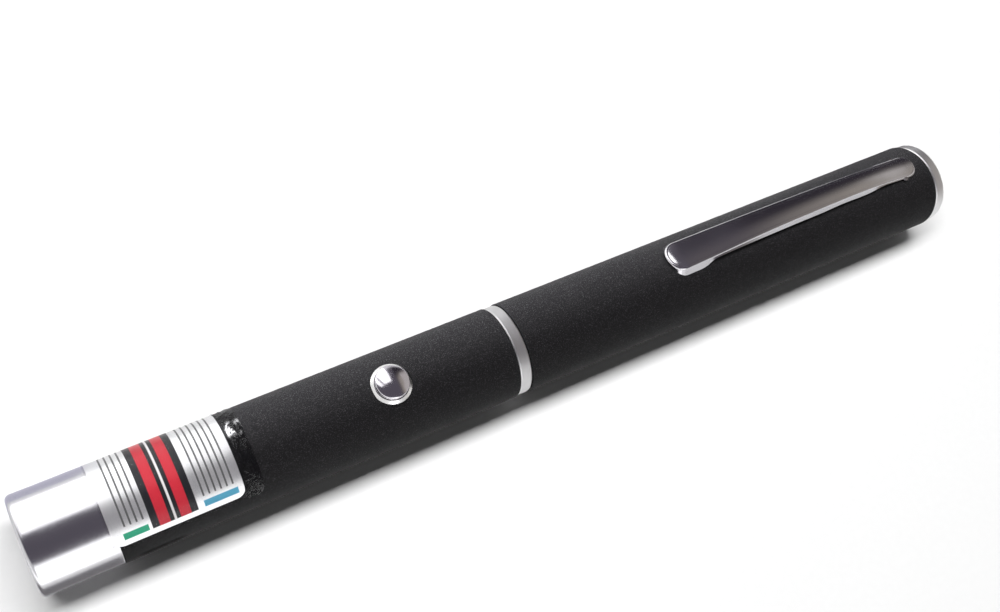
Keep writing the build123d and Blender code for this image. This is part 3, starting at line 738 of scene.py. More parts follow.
# %% The coil recipe
coil, given = new_recipe("coil", {
    "Turns": "Float", "Start Radius": "Float", "End Radius": "Float", "Height": "Float",
    "Points": "Int", "Wire Depth": "Float", "Wire Width": "Float", "Wire Sides": "Int",
    "Place": "Vector", "Material": "Material"})
helix = coil.node("GeometryNodeCurveSpiral", sockets={
    "Resolution": given["Points"], "Rotations": given["Turns"],
    "Start Radius": given["Start Radius"], "End Radius": given["End Radius"],
    "Height": given["Height"]})
upright = coil.node(
    "GeometryNodeSetCurveNormal", {"mode": "Z_UP"}, {"Curve": helix})
wire_round = coil.node("GeometryNodeCurvePrimitiveCircle", sockets={
    "Resolution": given["Wire Sides"], "Radius": 1.0})
wire_size = coil.vector(given["Wire Depth"], given["Wire Width"], 1.0)
wire_section = coil.node(
    "GeometryNodeTransform", sockets={"Geometry": wire_round, "Scale": wire_size})
wire = coil.node("GeometryNodeCurveToMesh", sockets={
    "Curve": upright, "Profile Curve": wire_section, "Fill Caps": True})
wire_placed = coil.node("GeometryNodeTransform", sockets={
    "Geometry": wire, "Translation": given["Place"], "Rotation": (0.0, math.pi / 2, 0.0)})
coil_tree = serve(coil, wire_placed, given["Material"])


def coiled_piece(name, start, height, first, last, turns, depth, width, sides, material,
                 sharp=35.0):
    """A wire or ridge wound about the pen's axis."""
    holder = run_recipe(mesh_thing(name, []), coil_tree, {
        "Turns": turns, "Start Radius": first * MM, "End Radius": last * MM,
        "Height": height * MM, "Points": 64, "Wire Depth": depth * MM,
        "Wire Width": width * MM, "Wire Sides": sides,
        "Place": (front_x + start * MM, 0.0, axis_z), "Material": material})
    return bake(holder, name, sharp)


def joined(first, *others):
    """Adds the others' meshes to the first piece."""
    shape = bmesh.new()
    for piece in (first, *others):
        shape.from_mesh(piece.data)
    shape.to_mesh(first.data)
    shape.free()
    for piece in others:
        bpy.data.objects.remove(piece)
    return first


print("coil recipe with", len(coil_tree.nodes), "nodes")

# %% Coupling ring
ring_radius, ring_bore, ring_edge = body_radius - 0.12, 5.45, 0.3
pressed_end, thread_end = ring_start - 6.0, ring_end + 6.5
thread_core, thread_run, thread_pitch = bore - 0.2, 5.6, 0.75
ring_band = turned_piece("ring_band", [
    (pressed_end, ring_bore), (pressed_end, socket_bore - fit_gap, fine_edge),
    (ring_start, socket_bore - fit_gap), (ring_start, ring_radius, ring_edge),
    (ring_end, ring_radius, ring_edge), (ring_end, thread_core),
    (thread_end, thread_core, fine_edge), (thread_end, ring_bore)], turned_silver)
ring_thread = coiled_piece(
    "ring_thread", ring_end + 0.45, thread_run, thread_core, thread_core,
    thread_run / thread_pitch, 0.32, 0.34, 4, turned_silver, sharp=20.0)
ring_band = joined(ring_band, ring_thread)
settle(ring_band, "grip", "ring_metal", "coupling_ring")

# %% Tail cap
cap_radius, cap_length, cap_floor = body_radius - 0.25, 1.9, 1.7
plug_start, plug_inside = rear_end - 3.0, spigot - 0.9
floor_along = rear_end + cap_length - cap_floor
tail_piece = turned_piece("tail_cap_skin", [
    (plug_start, plug_inside), (plug_start, spigot, fine_edge),
    (rear_end, spigot), (rear_end, cap_radius, 0.3),
    (pen_end, cap_radius, 0.5), (pen_end, 0.0),
    (floor_along, 0.0), (floor_along, plug_inside)], satin_silver)
settle(tail_piece, "rear_tube", "tail_chrome", "tail_cap")

# %% Springs
contact_wire, tail_wire, wire_sides = 0.2, 0.3, 16
contact_low = run_of("contact_spring")[0]
contact_coil = coiled_piece(
    "contact_coil", contact_low + contact_wire, 1.2, 3.0, 1.3, 1.5,
    contact_wire, contact_wire, wire_sides, spring_steel)
settle(contact_coil, "grip", "spring_wire", "contact_spring")
tail_low, tail_high = run_of("tail_spring")
tail_radius = (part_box("tail_spring")[1].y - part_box("tail_spring")[0].y) / 2 / MM - tail_wire
tail_coil = coiled_piece(
    "tail_coil", tail_low + tail_wire, tail_high - tail_low - 2 * tail_wire, tail_radius,
    tail_radius, 4.0, tail_wire, tail_wire, wire_sides, spring_steel)
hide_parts("tail_spring")
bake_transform(tail_coil)

# %% [markdown]
# ## Button and bezel
# The button is a small bright dome on an upright wall, which stands in a thin fixed ring whose
# top slopes outwards. Both are turned about an upright axis, so the lathe recipe takes a tilt
# of nothing and the button's own place.

# %% Button and bezel
def upright_section(corners):
    """Corners of (radius, height over the pen's axis) as the lathe's (along, radius)."""
    return [(corner[1], corner[0], *corner[2:]) for corner in corners]


def dome_level(radius):
    """The height of the button's low dome at a radius."""
    return dome_centre + math.sqrt(dome_sphere ** 2 - radius ** 2)


bezel_low, bezel_top = levels_of("button_bezel")
button_low, dome_top = levels_of("button")
dome_radius, dome_sphere, dome_flat = 2.46, 4.2, 2.2
dome_centre = dome_top - dome_sphere
bezel_inner, bezel_slope, small_steps = dome_radius + 0.03, 0.46, 160
bezel_ring = turned_piece("bezel_ring", upright_section([
    (bezel_inner, bezel_low), (bezel_outer, bezel_low),
    (bezel_outer, bezel_top - bezel_slope, 0.05), (bezel_inner, bezel_top, 0.04)]),
    bezel_chrome, small_steps, button_along)
settle(bezel_ring, "grip", "bezel_chrome", "button_bezel")

flange_radius, flange_top, flange_edge = 3.05, button_low + 0.5, 0.06
dome_arc = [(dome_flat * (1 - step / 12), dome_level(dome_flat * (1 - step / 12)))
            for step in range(13)]
button_dome = turned_piece("button_dome", upright_section([
    (0.0, button_low), (flange_radius, button_low, flange_edge),
    (flange_radius, flange_top, flange_edge), (dome_radius, flange_top),
    (dome_radius, dome_level(dome_radius), 0.3)] + dome_arc),
    polished_dome, small_steps, button_along)
settle(button_dome, "button", "button_chrome", "button")

# %% [markdown]
# ## Label and clear film
# A printed foil label is wrapped round the front of the pen with a wide clear film over it.
# The film reaches past the label on every side and is creased behind it. Both are thin sheets
# with rounded corners. A flat sheet could be bent with a modifier, but it is simpler to place
# the rows of its grid round the pen straight away.

# %% Sheets wrapped round the pen
sheet_corner, corner_steps, film_margin = 1.3, 8, 6.0
label_start, label_end = nozzle_end - 0.6, nozzle_end + 17.0
label_near, label_far = -56.0, 144.0


def grid_faces(rows, columns, closed=False):
    """The faces of a grid of points, which is written row by row and may close in a ring."""
    faces = []
    for i in range(rows if closed else rows - 1):
        for j in range(columns - 1):
            here, ahead = i * columns + j, (i + 1) % rows * columns + j
            faces.append((here, here + 1, ahead + 1, ahead))
    return faces


def wrapped_piece(name, start, end, near, far, radius_at, thickness, material,
                  along_step=0.25, columns=200):
    """A thin sheet round the pen between two rolls, with rounded corners."""
    length = end - start
    straight = length - 2 * sheet_corner
    offsets = [sheet_corner * (1 - math.cos(step / corner_steps * math.pi / 2))
               for step in range(corner_steps)]
    middle = max(2, round(straight / along_step))
    rows = offsets + [sheet_corner + straight * i / middle for i in range(middle + 1)]
    rows += [length - offset for offset in reversed(offsets)]
    points = []
    for row in rows:
        past_corner = max(0.0, sheet_corner - min(row, length - row))
        inset = sheet_corner - math.sqrt(max(0.0, sheet_corner ** 2 - past_corner ** 2))
        low = near + math.degrees(inset / body_radius)
        high = far - math.degrees(inset / body_radius)
        for column in range(columns + 1):
            roll = low + (high - low) * column / columns
            points.append(spot(start + row, radius_at(start + row, roll), roll))
    holder = mesh_thing(name, points, grid_faces(len(rows), columns + 1), material=material)
    shell = holder.modifiers.new("thickness", "SOLIDIFY")
    shell.thickness = thickness * MM
    shell.offset = 1.0
    return bake(holder, name)


print(f"label from {label_start:.2f} to {label_end:.2f} mm")

# %% Printed foil
label_foil, foil = new_material("printed_foil")
foil_place = places(foil)
along, roll = foil_place.along, foil_place.roll
grain = foil.noise(wrapped(foil, foil_place, 0.4, 6.0), 3.0, 4.0, 0.6)
band_width = foil.band(roll, -49.0, 132.0, 0.5)
black_band = foil.band(along, 15.3, 21.4, 0.05) * band_width
keyline = foil.band(along, 18.2, 18.5, 0.04) * band_width
red_stripe = (foil.band(along, 16.25, 17.65, 0.04) + foil.band(
    along, 19.05, 20.45, 0.04)) * band_width
stripes = (along * 1.25 - foil.maths("FLOOR", along * 1.25)) < 0.30
front_field, mark_width = foil.band(along, 11.6, 14.9, 0.05), foil.band(roll, -49.0, -41.0, 0.4)
pinstripes = stripes * foil.band(along, 21.9, 27.0, 0.05) * foil.band(roll, -36.0, 118.0, 0.5)
front_lines = stripes * front_field * foil.band(roll, -34.0, 96.0, 0.5)
green_mark = front_field * mark_width
blue_mark = foil.band(along, 22.3, 27.0, 0.05) * mark_width
ink = foil.maths("MINIMUM", 1.0, black_band + pinstripes * 0.85 + front_lines * 0.85)
cloudy = foil.noise(foil_place.point, 0.55, 4.0, 0.6)
flecks = foil.smooth(foil.noise(foil_place.point, 7.0, 2.0, 0.6), 0.45, 0.75)
printed = foil.mix(cloudy, (0.72, 0.72, 0.74), (0.86, 0.86, 0.86))
printed = foil.mix(0.35 * flecks, printed, (0.40, 0.40, 0.43))
for mask, colour in (
        (ink, (0.018, 0.018, 0.021)),
        (keyline, (0.80, 0.78, 0.79)),
        (red_stripe, foil.mix(flecks, (0.62, 0.035, 0.055), (0.50, 0.022, 0.04))),
        (green_mark, (0.03, 0.42, 0.24)),
        (blue_mark, (0.10, 0.42, 0.62))):
    printed = foil.mix(mask, printed, colour)
covered = foil.maths("MINIMUM", 1.0, ink + green_mark + blue_mark)
foil.principled({
    "Base Color": printed,
    "Metallic": 0.75 - 0.75 * covered,
    "Roughness": 0.34 + 0.10 * (grain - 0.5),
    "Specular IOR Level": 0.25,
    "Normal": foil.bump(grain, 0.004)})
foil_sheet = wrapped_piece(
    "foil_label", label_start, label_end, label_near, label_far,
    lambda along, roll: body_radius + 0.02, 0.09, label_foil)
settle(foil_sheet, "grip", "label_foil", "label")

# %% [markdown]
# Clear film over a label shows only by its gloss and its creases. A transmissive shader would
# be the physical way, but a film this thin bends no light, so plain alpha is enough, and it
# stays clear in every renderer. Where the film is creased it catches more light, and where it
# has come loose behind the label a few folds shine like metal.

# %% Clear film
film_start, film_end = label_start - 0.3, label_end + 2.6
film_slope, film_rim = 0.35, 0.5
film_close, film_lift, crease_height, small_height = 0.005, 0.12, 0.08, 0.03


def ridge(place, sharpness):
    """A crease along the places where a solid noise changes its sign."""
    return max(0.0, 1.0 - (solid_noise.noise(place) * sharpness) ** 2) ** 2


def film_radius(along, roll):
    """Close over the label, then down on to the paint, with creases behind the label."""
    over_along = min(along - label_start, label_end - along) / film_slope
    over_roll = math.radians(min(roll - label_near, label_far - roll)) * body_radius / film_slope
    over = max(0.0, min(1.0, 1.0 + min(over_along, over_roll)))
    on_label = over * over * (3 - 2 * over)
    around = math.radians(roll) * body_radius
    place = Vector((along * 0.9, around * 0.55, 3.0))
    small_place = place * 2.3 + Vector((9.0, 4.0, 1.0))
    edge = min(along - film_start, film_end - along) / film_rim
    loose = (1.0 - on_label) * max(0.0, min(1.0, edge))
    return body_radius + film_close + film_lift * on_label + loose * (
        crease_height * ridge(place, 5.0) + small_height * ridge(small_place, 6.0))


clear_film, film = new_material("clear_film")
film_place = places(film)
behind = film.smooth(film_place.along, label_end - 0.2, label_end + 0.5)
crease_lines = film.noise(wrapped(film, film_place, 1.0, 0.7), 1.1, 1.0, 0.4, 0.8)
lines = film.smooth(crease_lines, 0.56, 0.64)
folds = film.noise(wrapped(film, film_place, 0.9, 0.42), 0.9, 1.0, 0.4)
lifted = film.band(film_place.along, 28.1, 30.4, 0.3) * film.band(
    film_place.roll, 14.0, 33.0, 4.0)
glints = film.smooth(folds, 0.50, 0.62) * lifted * 0.9
film.principled({
    "Base Color": film.mix(glints, (0.008, 0.008, 0.009), (0.85, 0.85, 0.87)),
    "Metallic": glints,
    "Roughness": 0.10 + 0.10 * lines,
    "Specular IOR Level": 0.25,
    "Alpha": film.maths("MAXIMUM", 0.03 + behind * (0.35 + 0.35 * lines), glints),
    "Normal": film.bump(crease_lines, 0.05)})
film_sheet = wrapped_piece(
    "clear_film_sheet", film_start, film_end, label_near - film_margin,
    label_far + film_margin, film_radius, 0.02, clear_film, 0.12, 260)
settle(film_sheet, "grip", "clear_tape", "label_tape")

# %% [markdown]
# ## Pocket clip
# The clip is pressed from one strip of spring steel: a channel with a rounded tip, its sides
# turned down, a foot that touches the barrel at the tip and a tab that goes through the slot
# at the root. A box with a bevel never looks pressed. Here rows of points run from the clip's
# spine out to the rolled edge and down the side, all round its plan, with heights read from
# two smooth curves, and a Solidify modifier gives the strip its thickness. The sides flare
# outwards, while the nose leans back under the top.

# %% A smooth curve through measured points
def smooth_curve(knots):
    """A natural cubic spline through (place, height) knots, as a function of place."""
    xs, ys = zip(*knots)
    count = len(xs)
    widths = [xs[i + 1] - xs[i] for i in range(count - 1)]
    bends, ratio, value = [0.0] * count, [0.0] * count, [0.0] * count
    for i in range(1, count - 1):
        pull = 6 * ((ys[i + 1] - ys[i]) / widths[i] - (ys[i] - ys[i - 1]) / widths[i - 1])
        middle = 2 * (widths[i - 1] + widths[i]) - widths[i - 1] * ratio[i - 1]
        ratio[i] = widths[i] / middle
        value[i] = (pull - widths[i - 1] * value[i - 1]) / middle
    for i in range(count - 2, 0, -1):
        bends[i] = value[i] - ratio[i] * bends[i + 1]

    def height(x):
        x = max(xs[0], min(xs[-1], x))
        i = 0
        while i < count - 2 and x > xs[i + 1]:
            i += 1
        width = widths[i]
        left, right = (xs[i + 1] - x) / width, (x - xs[i]) / width
        return (left * ys[i] + right * ys[i + 1] + width * width / 6 * (
            (left ** 3 - left) * bends[i] + (right ** 3 - right) * bends[i + 1]))
    return height


clip_tip, clip_end = 98.45, 148.25
clip_length, clip_rise, clip_flare = clip_end - clip_tip, 1.8, 0.44
tip_half, root_half, strip = 2.4, 1.68, 0.45


def clip_curve(shares):
    """A curve from shares of the clip's length and of its rise over the barrel."""
    return smooth_curve([
        (clip_tip + along * clip_length, body_radius + rise * clip_rise)
        for along, rise in shares])


clip_top = clip_curve((
    (-0.03, 0.56), (0.03, 0.61), (0.08, 0.66), (0.16, 0.74), (0.28, 0.90), (0.45, 1.00),
    (0.62, 0.98), (0.78, 0.86), (0.88, 0.63), (0.95, 0.42), (1.03, 0.31)))
clip_edge = clip_curve((
    (0.102, -0.30), (0.122, -0.15), (0.143, 0.18), (0.160, 0.27), (0.205, 0.31), (0.274, 0.34),
    (0.354, 0.345), (0.434, 0.33), (0.514, 0.31), (0.594, 0.28), (0.674, 0.32), (0.754, 0.20),
    (0.79, 0.22), (0.83, 0.34), (0.92, 0.36), (1.03, 0.10)))
print("clip height at 106, 120, 137, 148 mm:",
      [round(clip_top(x), 2) for x in (106, 120, 137, 148)])

# %% The pressed channel
tip_centre, root_centre = clip_tip + tip_half, clip_end - root_half
lean = math.asin((tip_half - root_half) / (root_centre - tip_centre))
nose_steps, side_steps, root_steps, edge_steps, wall_steps = 20, 90, 16, 8, 5
top_shares = (0.0, 0.25, 0.5, 0.65, 0.78, 0.87, 0.94, 1.0)
crown, nose_drop, nose_lean = 0.26, 0.26, 1.6
edge_size, edge_side_loss, edge_root_loss = 0.42, 0.06, 0.4
edge_from, edge_sweep, edge_lift = 10, 70, 0.02
edge_reading, foot_rest, least_wall = 0.3, 7.09, 0.05


def clip_point(along, side, height):
    """A point of the clip, which sits a little over the pen's shoulder."""
    return Vector((
        front_x + along * MM,
        (side * math.cos(clip_roll) + height * math.sin(clip_roll)) * MM,
        axis_z + (height * math.cos(clip_roll) - side * math.sin(clip_roll)) * MM))


def clip_column(centre, out, half):
    """One row of the channel as (reach, level), from its spine over the edge to the rim."""
    nose = max(0.0, -out.x)
    flare = clip_flare * (1.0 - nose_lean * nose ** 2)

    def width_at(level):
        return half + (body_radius + clip_rise - level) / clip_rise * flare

    to_root = max(0.0, (centre - tip_centre) / (root_centre - tip_centre) - 0.5) * 2
    edge_round = (edge_size - edge_side_loss * out.y) * (1.0 - edge_root_loss * to_root)
    flat = width_at(clip_top(centre + out.x * half)) - edge_round
    column = []
    for share in top_shares:
        reach = flat * share
        drop = crown * (share * out.y) ** 2 + nose_drop * nose * share ** 3
        column.append((reach, clip_top(centre + out.x * reach) - drop))
    edge_centre = column[-1][1] + edge_lift - edge_round
    for step in range(1, edge_steps + 1):
        turn = math.radians(edge_from + step / edge_steps * edge_sweep)
        column.append((
            flat + edge_round * math.sin(turn), edge_centre + edge_round * math.cos(turn)))
    wall_reach, wall_top = column[-1]
    low = clip_edge(centre + out.x * (half + edge_reading))
    foot_side = out.y * width_at(low)
    low = max(low, math.sqrt(max(0.0, foot_rest ** 2 - foot_side ** 2)))
    low = min(low, wall_top - least_wall)
    for step in range(1, wall_steps + 1):
        share = step / wall_steps
        column.append((
            wall_reach + (width_at(low) - wall_reach) * share,
            wall_top + (low - wall_top) * share))
    return column


stations = [(tip_centre, math.pi - (math.pi / 2 + lean) * step / nose_steps, tip_half)
            for step in range(nose_steps)]
for step in range(side_steps + 1):
    share = step / side_steps
    stations.append((
        tip_centre + (root_centre - tip_centre) * share, math.pi / 2 - lean,
        tip_half + (root_half - tip_half) * share))
stations += [(root_centre, (math.pi / 2 - lean) * (1 - step / root_steps), root_half)
             for step in range(1, root_steps + 1)]
stations += [(centre, -angle, half) for centre, angle, half in reversed(stations[1:-1])]
points = []
for centre, angle, half in stations:
    out = Vector((math.cos(angle), math.sin(angle)))
    column = clip_column(centre, out, half)
    points += [clip_point(centre + out.x * reach, out.y * reach, level)
               for reach, level in column]
rings = len(column)
clip_holder = mesh_thing(
    "clip_holder", points, grid_faces(len(stations), rings, closed=True),
    material=pressed_chrome)
shape = bmesh.new()
shape.from_mesh(clip_holder.data)
spine = [v for i, v in enumerate(shape.verts) if i % rings == 0]
bmesh.ops.remove_doubles(shape, verts=spine, dist=2e-6)
bmesh.ops.dissolve_degenerate(shape, dist=1e-7, edges=shape.edges)
shape.normal_update()
if sum(face.normal.z * face.calc_area() for face in shape.faces) < 0:
    bmesh.ops.reverse_faces(shape, faces=shape.faces)
shape.to_mesh(clip_holder.data)
shape.free()
strip_modifier = clip_holder.modifiers.new("strip", "SOLIDIFY")
strip_modifier.thickness = strip * MM
strip_modifier.offset = -1.0
strip_modifier.use_even_offset = True
clip_piece = bake(clip_holder, "clip_skin", 50.0)

# %% [markdown]
# Behind the root the strip is bent down through the slot of the barrel, and its end is bent
# again under the barrel's wall, which hooks it there. Two small lugs beside the tab rest on the
# barrel, so that the strip can't sink into the slot. These are short straight bends, so blocks
# with eased edges are enough.

# %% Tab and hook of the clip
tab_start, tab_low, tab_top, hook_end = 145.45, 5.08, 7.40, 148.05
lug_start, lug_end, lug_low, lug_top = 145.15, 146.15, 6.80, 7.30


def bevelled_block(low, high, edge=0.12):
    """A block between two corners of (along, side, height), with its edges eased."""
    block = block_shape(low, high)
    bmesh.ops.bevel(block, geom=list(block.edges), offset=edge, segments=2, affect="EDGES")
    for vert in block.verts:
        vert.co = clip_point(*vert.co)
    mesh = written(block, "bend")
    mesh.materials.append(pressed_chrome)
    for face in mesh.polygons:
        face.use_smooth = True
    mesh.set_sharp_from_angle(angle=math.radians(50))
    return bpy.data.objects.new("bend", mesh)


clip_piece = joined(
    clip_piece,
    bevelled_block((tab_start, -1.9, tab_low), (146.05, 1.9, tab_top)),
    bevelled_block((tab_start, -1.2, tab_low), (hook_end, 1.2, tab_low + strip)),
    bevelled_block((lug_start, -2.45, lug_low), (lug_end, -1.45, lug_top), 0.22),
    bevelled_block((lug_start, 1.45, lug_low), (lug_end, 2.45, lug_top), 0.22))
settle(clip_piece, "clip", "clip_chrome", "pocket_clip")
print("clip", len(clip_piece.data.polygons), "faces")

# %% [markdown]
# ## What the tube hides
# Nobody sees the laser module, the board and the cells until the pen is unscrewed. Their
# solids already have the right shapes, so they stay as they are and only get their finishes.
# A picture could be wrapped round each, but painting by the place along the pen, the side and
# the height keeps every mark sharp and where its solid is.

# %% Dressing the inner pieces
def dress(material, *names):
    """Gives the solids of the named nodes one material."""
    for name in names:
        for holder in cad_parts[name].material_slots:
            holder.material = material
    print(material.name, "on", ", ".join(names))


def zoned(name, base, roughness, zones_of=None, scale=4.0, depth_mm=0.003, metallic=0.0):
    """A grained finish with zones over it, each a mask, a colour, its metal and roughness."""
    material, graph = new_material(name)
    place = places(graph)
    grain = graph.noise(place.point, scale, 4.0, 0.6)
    cloud = graph.noise(place.point, 0.4, 3.0, 0.6)
    colour = graph.mix(cloud, base, tuple(channel * 0.8 for channel in base))
    shine, rough = metallic, roughness + 0.14 * (grain - 0.5)
    for mask, tint, zone_metal, zone_rough in (zones_of(graph, place) if zones_of else []):
        colour = graph.mix(mask, colour, tint)
        shine = shine + mask * (zone_metal - shine)
        rough = rough + mask * (zone_rough - rough)
    graph.principled({
        "Base Color": colour, "Roughness": rough, "Metallic": shine,
        "Normal": graph.bump(grain, depth_mm)})
    return material


tin, beige = (0.70, 0.70, 0.69), (0.62, 0.56, 0.34)
print("dress and zoned are ready")

# %% [markdown]
# The laser module is a stack of brass pieces off the lathe, which shows in fine lines round
# them. Its lenses are clear glass with a ground rim and a few specks of dust.

# %% Brass and glass of the module
dress(metal("turned_brass", (0.74, 0.55, 0.27), 0.30, 0.12, 6.0, 0.003, 6.0, 0.12),
      "module_housing", "lens_cell", "crystal_holder", "diode_ring")


def optic(name, colours, rim_radius, split=0.0):
    """Clear glass with a ground rim: one colour before a place along the pen, one after it."""
    material, graph = new_material(name)
    place = places(graph)
    ground = graph.smooth(place.radius, rim_radius - 0.14, rim_radius - 0.06)
    dust_and_painted_light = graph.smooth(graph.noise(place.point, 5.0, 2.0, 0.5), 0.66, 0.72)
    rear = graph.smooth(place.along, split - 0.03, split + 0.03)
    clear = graph.mix(rear, colours[0], colours[-1])
    graph.principled({
        "Base Color": graph.mix(ground, clear, (0.82, 0.84, 0.83)),
        "Roughness": 0.03 + 0.5 * ground + 0.25 * dust_and_painted_light,
        "Transmission Weight": 1.0,
        "IOR": 1.52,
        "Normal": graph.bump(dust_and_painted_light, 0.002)})
    return material


coated = (0.90, 0.95, 0.94)
dress(optic("coated_glass", [coated], 3.2), "collimating_lens")
dress(optic("small_lens_glass", [coated], 1.75), "expander_lens")
dress(optic("blue_filter_glass", [(0.42, 0.66, 0.70)], 2.6), "infrared_filter")
dress(optic("bonded_crystal", [(0.86, 0.90, 0.86), (0.66, 0.48, 0.80)], 4.0, 26.9),
      "crystal_block")

# %% [markdown]
# The pump diode's can is plated with gold. Its pins come out through seals of dark glass, and
# its front has a small window. The distance to each pin draws its seal.

# %% Gold of the pump diode
pin_circle = 1.27


def diode_zones(graph, place):
    """The can's window and the glass seals round its three pins."""
    window = graph.smooth(place.radius, 0.62, 0.54) * graph.smooth(place.along, 27.75, 27.65)
    zones = [(window, (0.05, 0.04, 0.06), 0.0, 0.10)]
    at_flange = graph.band(place.along, 30.3, 30.9, 0.05)
    for turn in map(math.radians, (90, 210, 330)):
        apart = graph.length(
            place.side - pin_circle * math.sin(turn), place.rise - pin_circle * math.cos(turn))
        seal = graph.band(apart, 0.25, 0.48, 0.02) * at_flange
        zones.append((seal, (0.02, 0.03, 0.025), 0.0, 0.15))
    return zones


dress(zoned("gold_plating", (0.83, 0.65, 0.32), 0.24, diode_zones, metallic=1.0), "pump_diode")

# %% [markdown]
# The driver board is glass fibre with a green lacquer. Copper traces show through as a lighter
# green, the pads are tinned, and the cut edges are the bare beige board. The traces follow the
# side and the place along, switched by a noise so that no two runs are alike.

# %% Board and its parts
def lacquer_zones(graph, place):
    """Copper traces, the pads of the chip and of the contact board, and the cut edges."""
    along, side = place.along, place.side
    across = abs(side)
    lane = graph.maths("FRACT", side * 0.8 + 20.0)
    choice = graph.noise(graph.vector(
        along * 0.35, graph.maths("FLOOR", side * 0.8 + 20.0) * 1.7), 1.0, 1.0)
    traces = graph.band(lane, 0.35, 0.65, 0.04) * graph.smooth(choice, 0.47, 0.49)
    pitch = graph.maths("FRACT", (along - 37.91) / 1.27)
    chip_pads = graph.band(pitch, 0.28, 0.72, 0.03) * graph.band(
        along, 37.9, 43.0, 0.02) * graph.band(across, 2.3, 3.35, 0.03)
    end_pads = graph.band(graph.maths("FRACT", side * 1.25 + 0.1), 0.2, 0.8, 0.04) * graph.band(
        along, 44.7, 46.1, 0.03) * graph.band(across, 2.7, 4.7, 0.03)
    edges = 1.0 - graph.smooth(abs(place.rise + 1.36), 0.46, 0.49)
    return [(traces, (0.09, 0.36, 0.17), 0.0, 0.32), (chip_pads, tin, 1.0, 0.35),
            (end_pads, tin, 1.0, 0.35), (edges, beige, 0.0, 0.75)]


def contact_zones(graph, place):
    """The gilt pad for the spring and the cut edge."""
    pad = graph.smooth(place.radius, 3.4, 3.3) * graph.smooth(place.along, 55.18, 55.22)
    edge = graph.smooth(place.radius, 5.50, 5.54)
    return [(pad, (0.80, 0.64, 0.36), 1.0, 0.30), (edge, beige, 0.0, 0.75)]


def chip_zones(graph, place):
    """The dot at the first leg and the tinned legs."""
    dot = graph.smooth(graph.length(place.along - 38.6, place.side + 1.35), 0.34, 0.28)
    legs = graph.smooth(abs(place.side), 1.96, 1.99)
    return [(dot, (0.10, 0.10, 0.105), 0.0, 0.25), (legs, tin, 1.0, 0.32)]


def capacitor_zones(graph, place):
    """The stripe at the positive end and the tinned ends."""
    stripe = graph.smooth(place.side, 3.78, 3.82)
    ends = 1.0 - graph.band(place.side, 2.0, 4.4, 0.03)
    return [(stripe, (0.36, 0.16, 0.04), 0.0, 0.4), (ends, tin, 1.0, 0.32)]


def resistor_zones(graph, place):
    """The tinned ends, measured from each resistor's middle."""
    front = graph.smooth(place.along, 44.4, 44.2)
    off_centre = abs(abs(place.side) - (3.66 + 0.42 * front))
    return [(graph.smooth(off_centre, 0.54, 0.57), tin, 1.0, 0.32)]


def black(shade):
    """A black with a trace of blue."""
    return (shade, shade, shade * 1.05)


lacquer, lacquer_rough = (0.05, 0.24, 0.11), 0.35
dress(zoned("vulcanised_fibre", (0.16, 0.13, 0.10), 0.70, scale=2.0, depth_mm=0.02),
      "board_sleeve")
dress(zoned("green_lacquer", lacquer, lacquer_rough, lacquer_zones), "driver_board")
dress(zoned("contact_lacquer", lacquer, lacquer_rough, contact_zones), "contact_board")
dress(zoned("black_epoxy", black(0.045), 0.60, chip_zones, 8.0, 0.006), "driver_chip")
dress(zoned("amber_epoxy", (0.76, 0.50, 0.13), 0.42, capacitor_zones), "capacitor")
dress(zoned("black_glaze", black(0.06), 0.28, resistor_zones), "resistors")
dress(zoned("white_ceramic", (0.80, 0.79, 0.74), 0.45, scale=6.0), "trimmer_base")
dress(zoned("black_nylon", black(0.05), 0.50, scale=3.0, depth_mm=0.008), "switch_base")
dress(zoned("white_nylon", (0.78, 0.77, 0.73), 0.42, scale=3.0, depth_mm=0.006),
      "switch_plunger")
tinned_plate = metal("tinned_plate", tin, 0.32, 0.14, 4.0, 0.002, 0.4, 2.0)
dress(tinned_plate, "trimmer_rotor", "switch_cover", "switch_legs")

# %% [markdown]
# The snap dome under the plunger is a thin sprung disc that gives way when the button is
# pressed. A stiff disc would stick in the plunger, so it is turned here as a piece of its own.

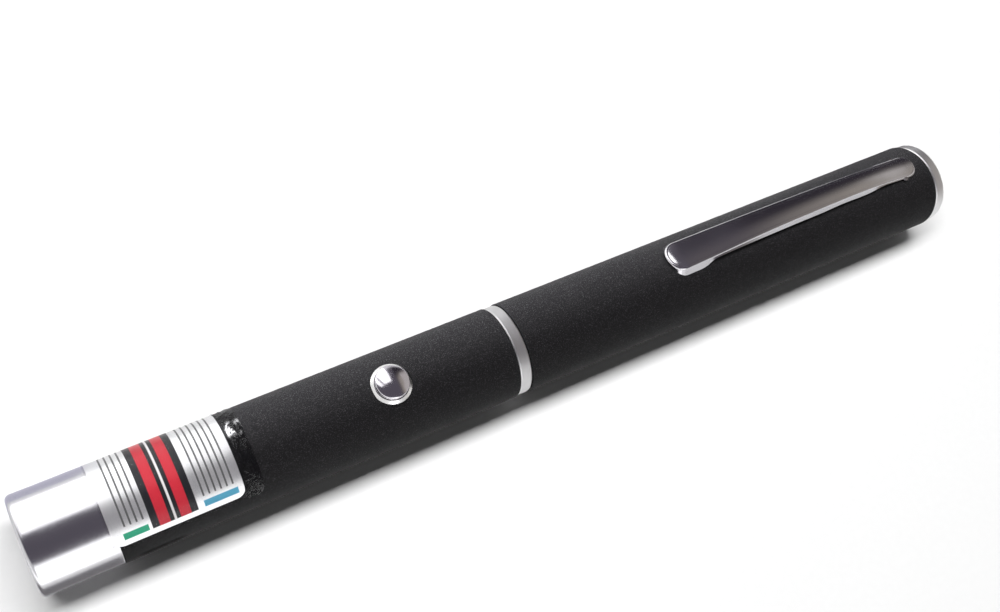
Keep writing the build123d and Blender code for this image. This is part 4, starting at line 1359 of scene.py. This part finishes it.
# %% Snap dome
snap_low, snap_top = levels_of("snap_dome")
snap_rim = (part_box("snap_dome")[1].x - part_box("snap_dome")[0].x) / 2 / MM
snap_sheet, snap_flat, snap_shoulder, press_travel = 0.1, 0.9, 1.0, 0.35
snap_leaf = turned_piece("snap_leaf", upright_section([
    (0.0, snap_top - snap_sheet), (snap_flat, snap_top - snap_sheet),
    (snap_rim - snap_sheet, snap_low), (snap_rim, snap_low), (snap_shoulder, snap_top),
    (0.0, snap_top)]), tinned_plate, 96, button_along)
settle(snap_leaf, "grip", "tinned_metal", "snap_dome")
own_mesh(snap_leaf)

# %% [markdown]
# The two cells lie end to end, one cell's length apart, so one wrapper pattern that repeats
# with that length dresses both. It has a plain blue ground, two silver rings and the plus and
# minus signs of any cell.

# %% Cells
cell_pitch = (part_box("rear_cell_can")[0].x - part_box("front_cell_can")[0].x) / MM
wrapper_start = run_of("front_cell_cap")[0]


def wrapper_zones(graph, place):
    """Two rings near the ends of each cell and the signs beside them."""
    cell = graph.maths("FLOOR", (place.along - wrapper_start) / cell_pitch)
    local = place.along - wrapper_start - cell * cell_pitch
    around = place.roll * math.radians(5.2)
    rings = graph.band(local, 10.0, 11.2, 0.04) + graph.band(local, 37.0, 38.2, 0.04)
    across, up = graph.band(around, -1.5, 1.5, 0.04), graph.band(around, -0.3, 0.3, 0.04)
    plus = graph.maths(
        "MAXIMUM", across * graph.band(local, 5.4, 6.0, 0.04), up * graph.band(
            local, 4.2, 7.2, 0.04))
    minus = across * graph.band(local, 40.4, 41.0, 0.04)
    return [(rings, (0.66, 0.67, 0.69), 1.0, 0.30),
            (graph.maths("MAXIMUM", plus, minus), (0.82, 0.82, 0.80), 0.0, 0.35)]


dress(zoned("blue_wrapper", (0.10, 0.17, 0.26), 0.30, wrapper_zones, 2.0, 0.004),
      "front_cell_jacket", "rear_cell_jacket")
dress(metal("nickelled_steel", (0.72, 0.71, 0.69), 0.28, 0.12, 5.0, 0.002, 6.0, 0.12),
      "front_cell_can", "rear_cell_can", "front_cell_cap", "rear_cell_cap")
dress(zoned("nylon_seal", (0.82, 0.80, 0.76), 0.5, scale=3.0), "front_cell_seal",
      "rear_cell_seal")
print("every solid inside has its own finish")
